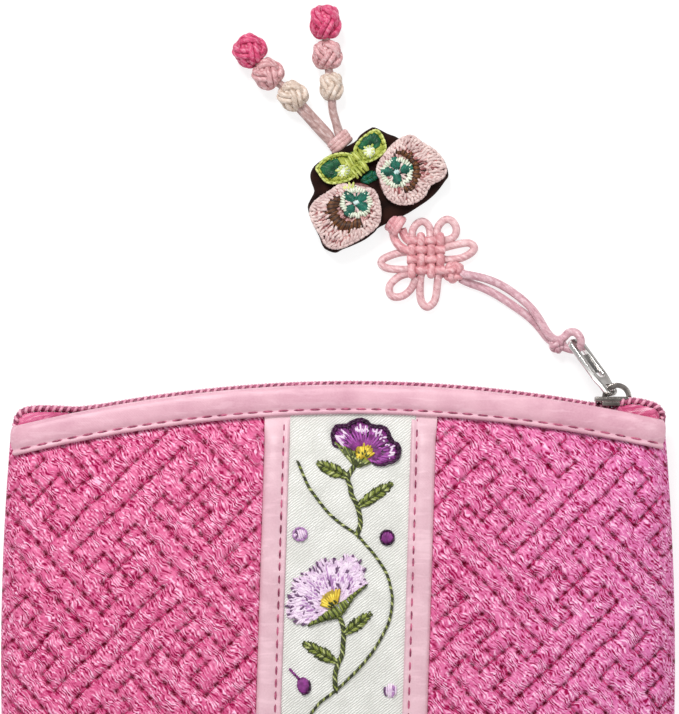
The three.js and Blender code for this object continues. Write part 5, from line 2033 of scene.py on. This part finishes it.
def sew_lower_wing(side):
    rim = WING_RIMS[side]
    centre = WING_CENTRES[side]
    sew("rose", fan(centre, rim, 0.36, 0.7, 44, wing_z, 0.06))
    sew("rose", fan(centre, rim, 0.66, 0.96, 56, wing_z, 0.04))
    rows = ((0.52, 0.68, 30, "rose"), (0.62, 0.8, 38, "pale_rose"), (0.74, 0.92, 42, "pale_rose"))
    for inner, outer, count, colour in rows:
        sew(colour, fan(centre, rim, inner, outer, count, wing_z, 0.1, 0.2, 0.36, 0.06))
    sew("pale_rose", fan(centre, rim, 0.86, 0.99, 58, wing_z, 0.04, 0.16, 0.3, 0.04))
    # Painted shadows: deep rose and dark brown threads between the rows of the wing
    painted_row_shadows = (
        ("deep_rose", 0.5, 0.68, 26, 0.08, 0.28),
        ("deep_rose", 0.76, 0.88, 22, 0.1, 0.22),
        ("dark_brown", 0.5, 0.64, 18, 0.08, 0.26),
    )
    sew_fans(centre, rim, wing_z, painted_row_shadows)
    sew("pale_rose", back_stitch(rim, 1.1, wing_z, gap=0.06, lift=0.1))
    wide = 0.5 if side == "right" else 0.95
    arc = along_line(smooth_path(BROWN_ARCS[side], 6), middles(40))
    for k, point in enumerate(arc):
        out = unit(point - np.array(centre))
        start = point - out * (wide + wobble(0.25))
        end = point + out * (wide + 0.1 + wobble(0.4))
        colour = "brown" if k % 3 else "dark_brown"
        sew(colour, [stitch(start, end, wing_z, 0.44)])
    sew("eye", fan(centre, circle(centre, 2.8, 2.6), 0.72, 1.06, 34, wing_z, 0.08, 0.5, slant=0.06))
    sew("pale_rose", fan(centre, circle(centre, 2.5, 2.4), 0.3, 0.8, 16, wing_z, 0.14, 0.24))
    for spot in TEAL_SPOTS[side]:
        turn = math.atan2(spot[1] - centre[1], spot[0] - centre[0])
        oval(spot, 1.1, 0.9, turn, wing_z, "teal", 8, 0.54)
    oval(centre, 0.45, 0.45, 0.6, wing_z, "pale_blue", 3, 0.64)


UPPER_RIMS = {
    "right": [
        (2.9, 87.3), (3.4, 88.6), (4.9, 90.0), (6.7, 91.1), (7.7, 90.4), (8.5, 88.7), (8.5, 87.3),
        (7.0, 86.0), (5.4, 85.3), (3.8, 85.3), (2.9, 87.3),
    ],
    "left": [
        (-4.0, 84.1), (-2.3, 85.9), (0.2, 86.8), (2.2, 86.6), (4.0, 85.5), (4.3, 84.1), (2.5, 82.3),
        (0.0, 81.5), (-2.2, 81.7), (-4.0, 84.1),
    ],
}
GREEN_TIPS = {
    "right": [(3.7, 87.8), (4.4, 89.3), (5.8, 90.3), (6.9, 90.4), (7.5, 89.5), (7.6, 88.3)],
    "left": [(-0.2, 85.9), (-2.0, 85.2), (-3.2, 84.3), (-2.6, 83.2), (-1.2, 82.3)],
}
WHITE_EYES = {"right": (5.6, 87.2), "left": (0.9, 83.7)}


def sew_upper_wing(side):
    rim = UPPER_RIMS[side]
    centre = WHITE_EYES[side]
    sew("lime", fan(centre, rim, 0.3, 0.8, 40, wing_z, 0.08))
    sew("pale_lime", back_stitch(rim, 1.0, wing_z, gap=0.06, lift=0.14))
    sew("lime", back_stitch(shrunk(rim, centre, 0.9), 1.0, wing_z, gap=0.1, lift=0.14))
    sew("dark_green", fan(centre, GREEN_TIPS[side], 0.3, 1.03, 36, wing_z, 0.06, 0.3))
    turn = 0.2 if side == "right" else 1.6
    oval(centre, 0.95, 1.2, turn, wing_z, "eye", 7, 0.42)
    sew("pale_lime", fan(centre, circle(centre, 1.2, 1.3), 0.35, 0.95, 9, wing_z, 0.25, 0.5))


BODY_HEAD = np.array([2.0, 86.6])
BODY_TAIL = np.array([4.75, 83.1])
BODY_ASIDE = np.array([0.78, 0.62])


def sew_butterfly():
    for side in ("right", "left"):
        sew_lower_wing(side)
        sew_upper_wing(side)
    for k in range(9):
        aside = BODY_ASIDE * (k - 4) * 0.34
        start = BODY_HEAD + aside + wobble(0.3)
        end = BODY_TAIL + aside * 1.05 + wobble(0.3)
        colour = "pale_lime" if k % 3 == 0 else "lime"
        sew(colour, back_stitch([start, (start + end) / 2 + wobble(0.2), end], 2.2, wing_z, lift=0.38))
    leaf((4.2, 81.8), (7.5, 83.2), 1.0, pad_z, ("teal", "dark_green", "teal"), 10)
    sew("teal", back_stitch([(3.2, 80.9), (3.4, 79.6), (3.2, 78.4)], 1.0, wing_z, lift=0.4))
    crest = [(0.7, 80.6), (1.7, 81.3), (2.9, 81.3)]
    sew("pale_lime", fan((2.6, 79.0), crest, 0.4, 1.0, 8, wing_z, 0.15, 0.3, slant=0.1))


THREAD_COLOURS = {
    "purple": ((144, 54, 140), (90, 24, 86), None),
    "plum": ((66, 18, 62), (36, 8, 36), None),
    "violet": ((182, 92, 180), (138, 56, 140), None),
    "lilac": ((190, 144, 194), (150, 102, 158), None),
    "pale_lilac": ((238, 220, 235), (212, 184, 212), None),
    "mauve": ((120, 84, 122), (84, 52, 88), None),
    "yellow": ((240, 216, 84), (212, 178, 48), None),
    "gold": ((200, 172, 50), (150, 124, 28), None),
    "olive": ((140, 150, 70), (104, 116, 46), "green_thread"),
    "pale_olive": ((186, 192, 128), (150, 158, 92), "green_thread"),
    "dark_olive": ((78, 86, 38), (46, 52, 22), "green_thread"),
    "vine": ((56, 60, 32), (32, 36, 18), "green_thread"),
    "pale_rose": ((226, 204, 199), (200, 170, 167), "pink_thread"),
    "rose": ((216, 176, 172), (182, 134, 132), "pink_thread"),
    "deep_rose": ((172, 104, 104), (120, 60, 62), "pink_thread"),
    "brown": ((112, 68, 30), (70, 38, 15), "butterfly_ground"),
    "dark_brown": ((62, 32, 18), (38, 18, 12), "butterfly_ground"),
    "eye": ((232, 236, 220), (200, 208, 184), "white_satin"),
    "pale_blue": ((206, 226, 222), (150, 186, 182), None),
    "teal": ((28, 112, 92), (10, 66, 56), "green_thread"),
    "dark_green": ((16, 96, 56), (4, 56, 34), "green_thread"),
    "lime": ((182, 188, 84), (134, 146, 50), "green_thread"),
    "pale_lime": ((210, 216, 132), (172, 184, 90), "green_thread"),
}


def make_embroidery():
    sew_purple_flower()
    sew_lilac_flower()
    sew_vine()
    sew_butterfly()
    made = []
    for colour, strokes in threads.items():
        light, deep, slot = THREAD_COLOURS[colour]
        material = make_thread(f"{colour}_thread", light, deep)
        on_wing = [path for path in strokes if path[0][1] > CHARM_FROM_Y]
        on_panel = [path for path in strokes if path[0][1] <= CHARM_FROM_Y]
        if on_panel:
            strand_piece(f"panel_{colour}", on_panel, THREAD_W, material, slot, ends=THREAD_ENDS)
        if on_wing:
            thick = ROSE_THREAD_W if colour == "pale_rose" else THREAD_W
            made.append(strand_piece(f"wing_{colour}", on_wing, thick, material, slot, ends=THREAD_ENDS))
    return made


# Stage

WHITE = (1, 1, 1, 1)
PAPER_GLOW = 0.76
SKY_STRENGTH = 0.36
LIGHTS = (
    ("top_light", (-0.18, 0.52, 0.6), 0.3, 4.9),
    ("side_light", (0.55, 0.05, 0.6), 0.5, 1.9),
    ("low_light", (-0.5, -0.35, 0.55), 0.5, 1.2),
)
LIT_PLACE = Vector((0, 0.03, 0))


def make_stage():
    bm = bmesh.new()
    bmesh.ops.create_grid(bm, x_segments=2, y_segments=2, size=3)
    floor = in_scene("floor", mesh_from("floor", bm))
    floor.location.z = -0.0001
    paper = Finish("paper", roughness=0.9, specular=0.1)
    grain = paper.effect(FIBRE, Fine=900, Broad=6)
    paper.colour(paper.mix(grain["Dye"], (154, 154, 154), (157, 157, 157)))
    paper.shader.inputs["Emission Color"].default_value = WHITE
    paper.shader.inputs["Emission Strength"].default_value = PAPER_GLOW
    floor.data.materials.append(paper.material)
    world = bpy.data.worlds.new("studio")
    world.use_nodes = True
    sky = world.node_tree.nodes["Background"]
    sky.inputs["Color"].default_value = WHITE
    sky.inputs["Strength"].default_value = SKY_STRENGTH
    bpy.context.scene.world = world
    for name, place, size, power in LIGHTS:
        data = bpy.data.lights.new(name, "AREA")
        data.shape = "DISK"
        data.size = size
        data.energy = power
        light = in_scene(name, data)
        light.location = place
        light.rotation_euler = (LIT_PLACE - Vector(place)).to_track_quat("-Z", "Y").to_euler()
    bpy.context.scene.view_settings.view_transform = "Standard"
    bpy.context.scene.view_settings.look = "None"


VIEW_CENTRE = (0.27, 50.04)
VIEW_HEIGHT = 128.52
VIEW_REFERENCE_Z = 8.0
LENS = 300.0
SENSOR_W = 36


def make_camera():
    data = bpy.data.cameras.new("camera")
    data.lens = LENS
    data.sensor_width = SENSOR_W
    data.clip_start = 0.05
    data.clip_end = 20
    camera = in_scene("camera", data)
    away = LENS * VIEW_HEIGHT / SENSOR_W
    camera.location = Vector((*VIEW_CENTRE, VIEW_REFERENCE_Z + away)) * MM
    bpy.context.scene.camera = camera


make_camera()
make_stage()
loop_cord, loop_length = make_loop_cord()
antenna_cord, antenna_length, antenna_pieces = make_antennae()
make_front_quilts()
make_back_quilt()
make_quilt_stitches()
make_panel()
make_trims()
make_binding("binding_front", 1)
make_binding("binding_back", -1)
make_zip()
make_slider()
make_tab()
ring_knot = make_ring_knot()
lower_knot = make_lower_knot()
upper_knot = make_upper_knot()
flower_knot = make_flower_knot()
head_knot = make_head_knot()
butterfly = make_butterfly()
wing_threads = make_embroidery()
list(antenna_pieces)
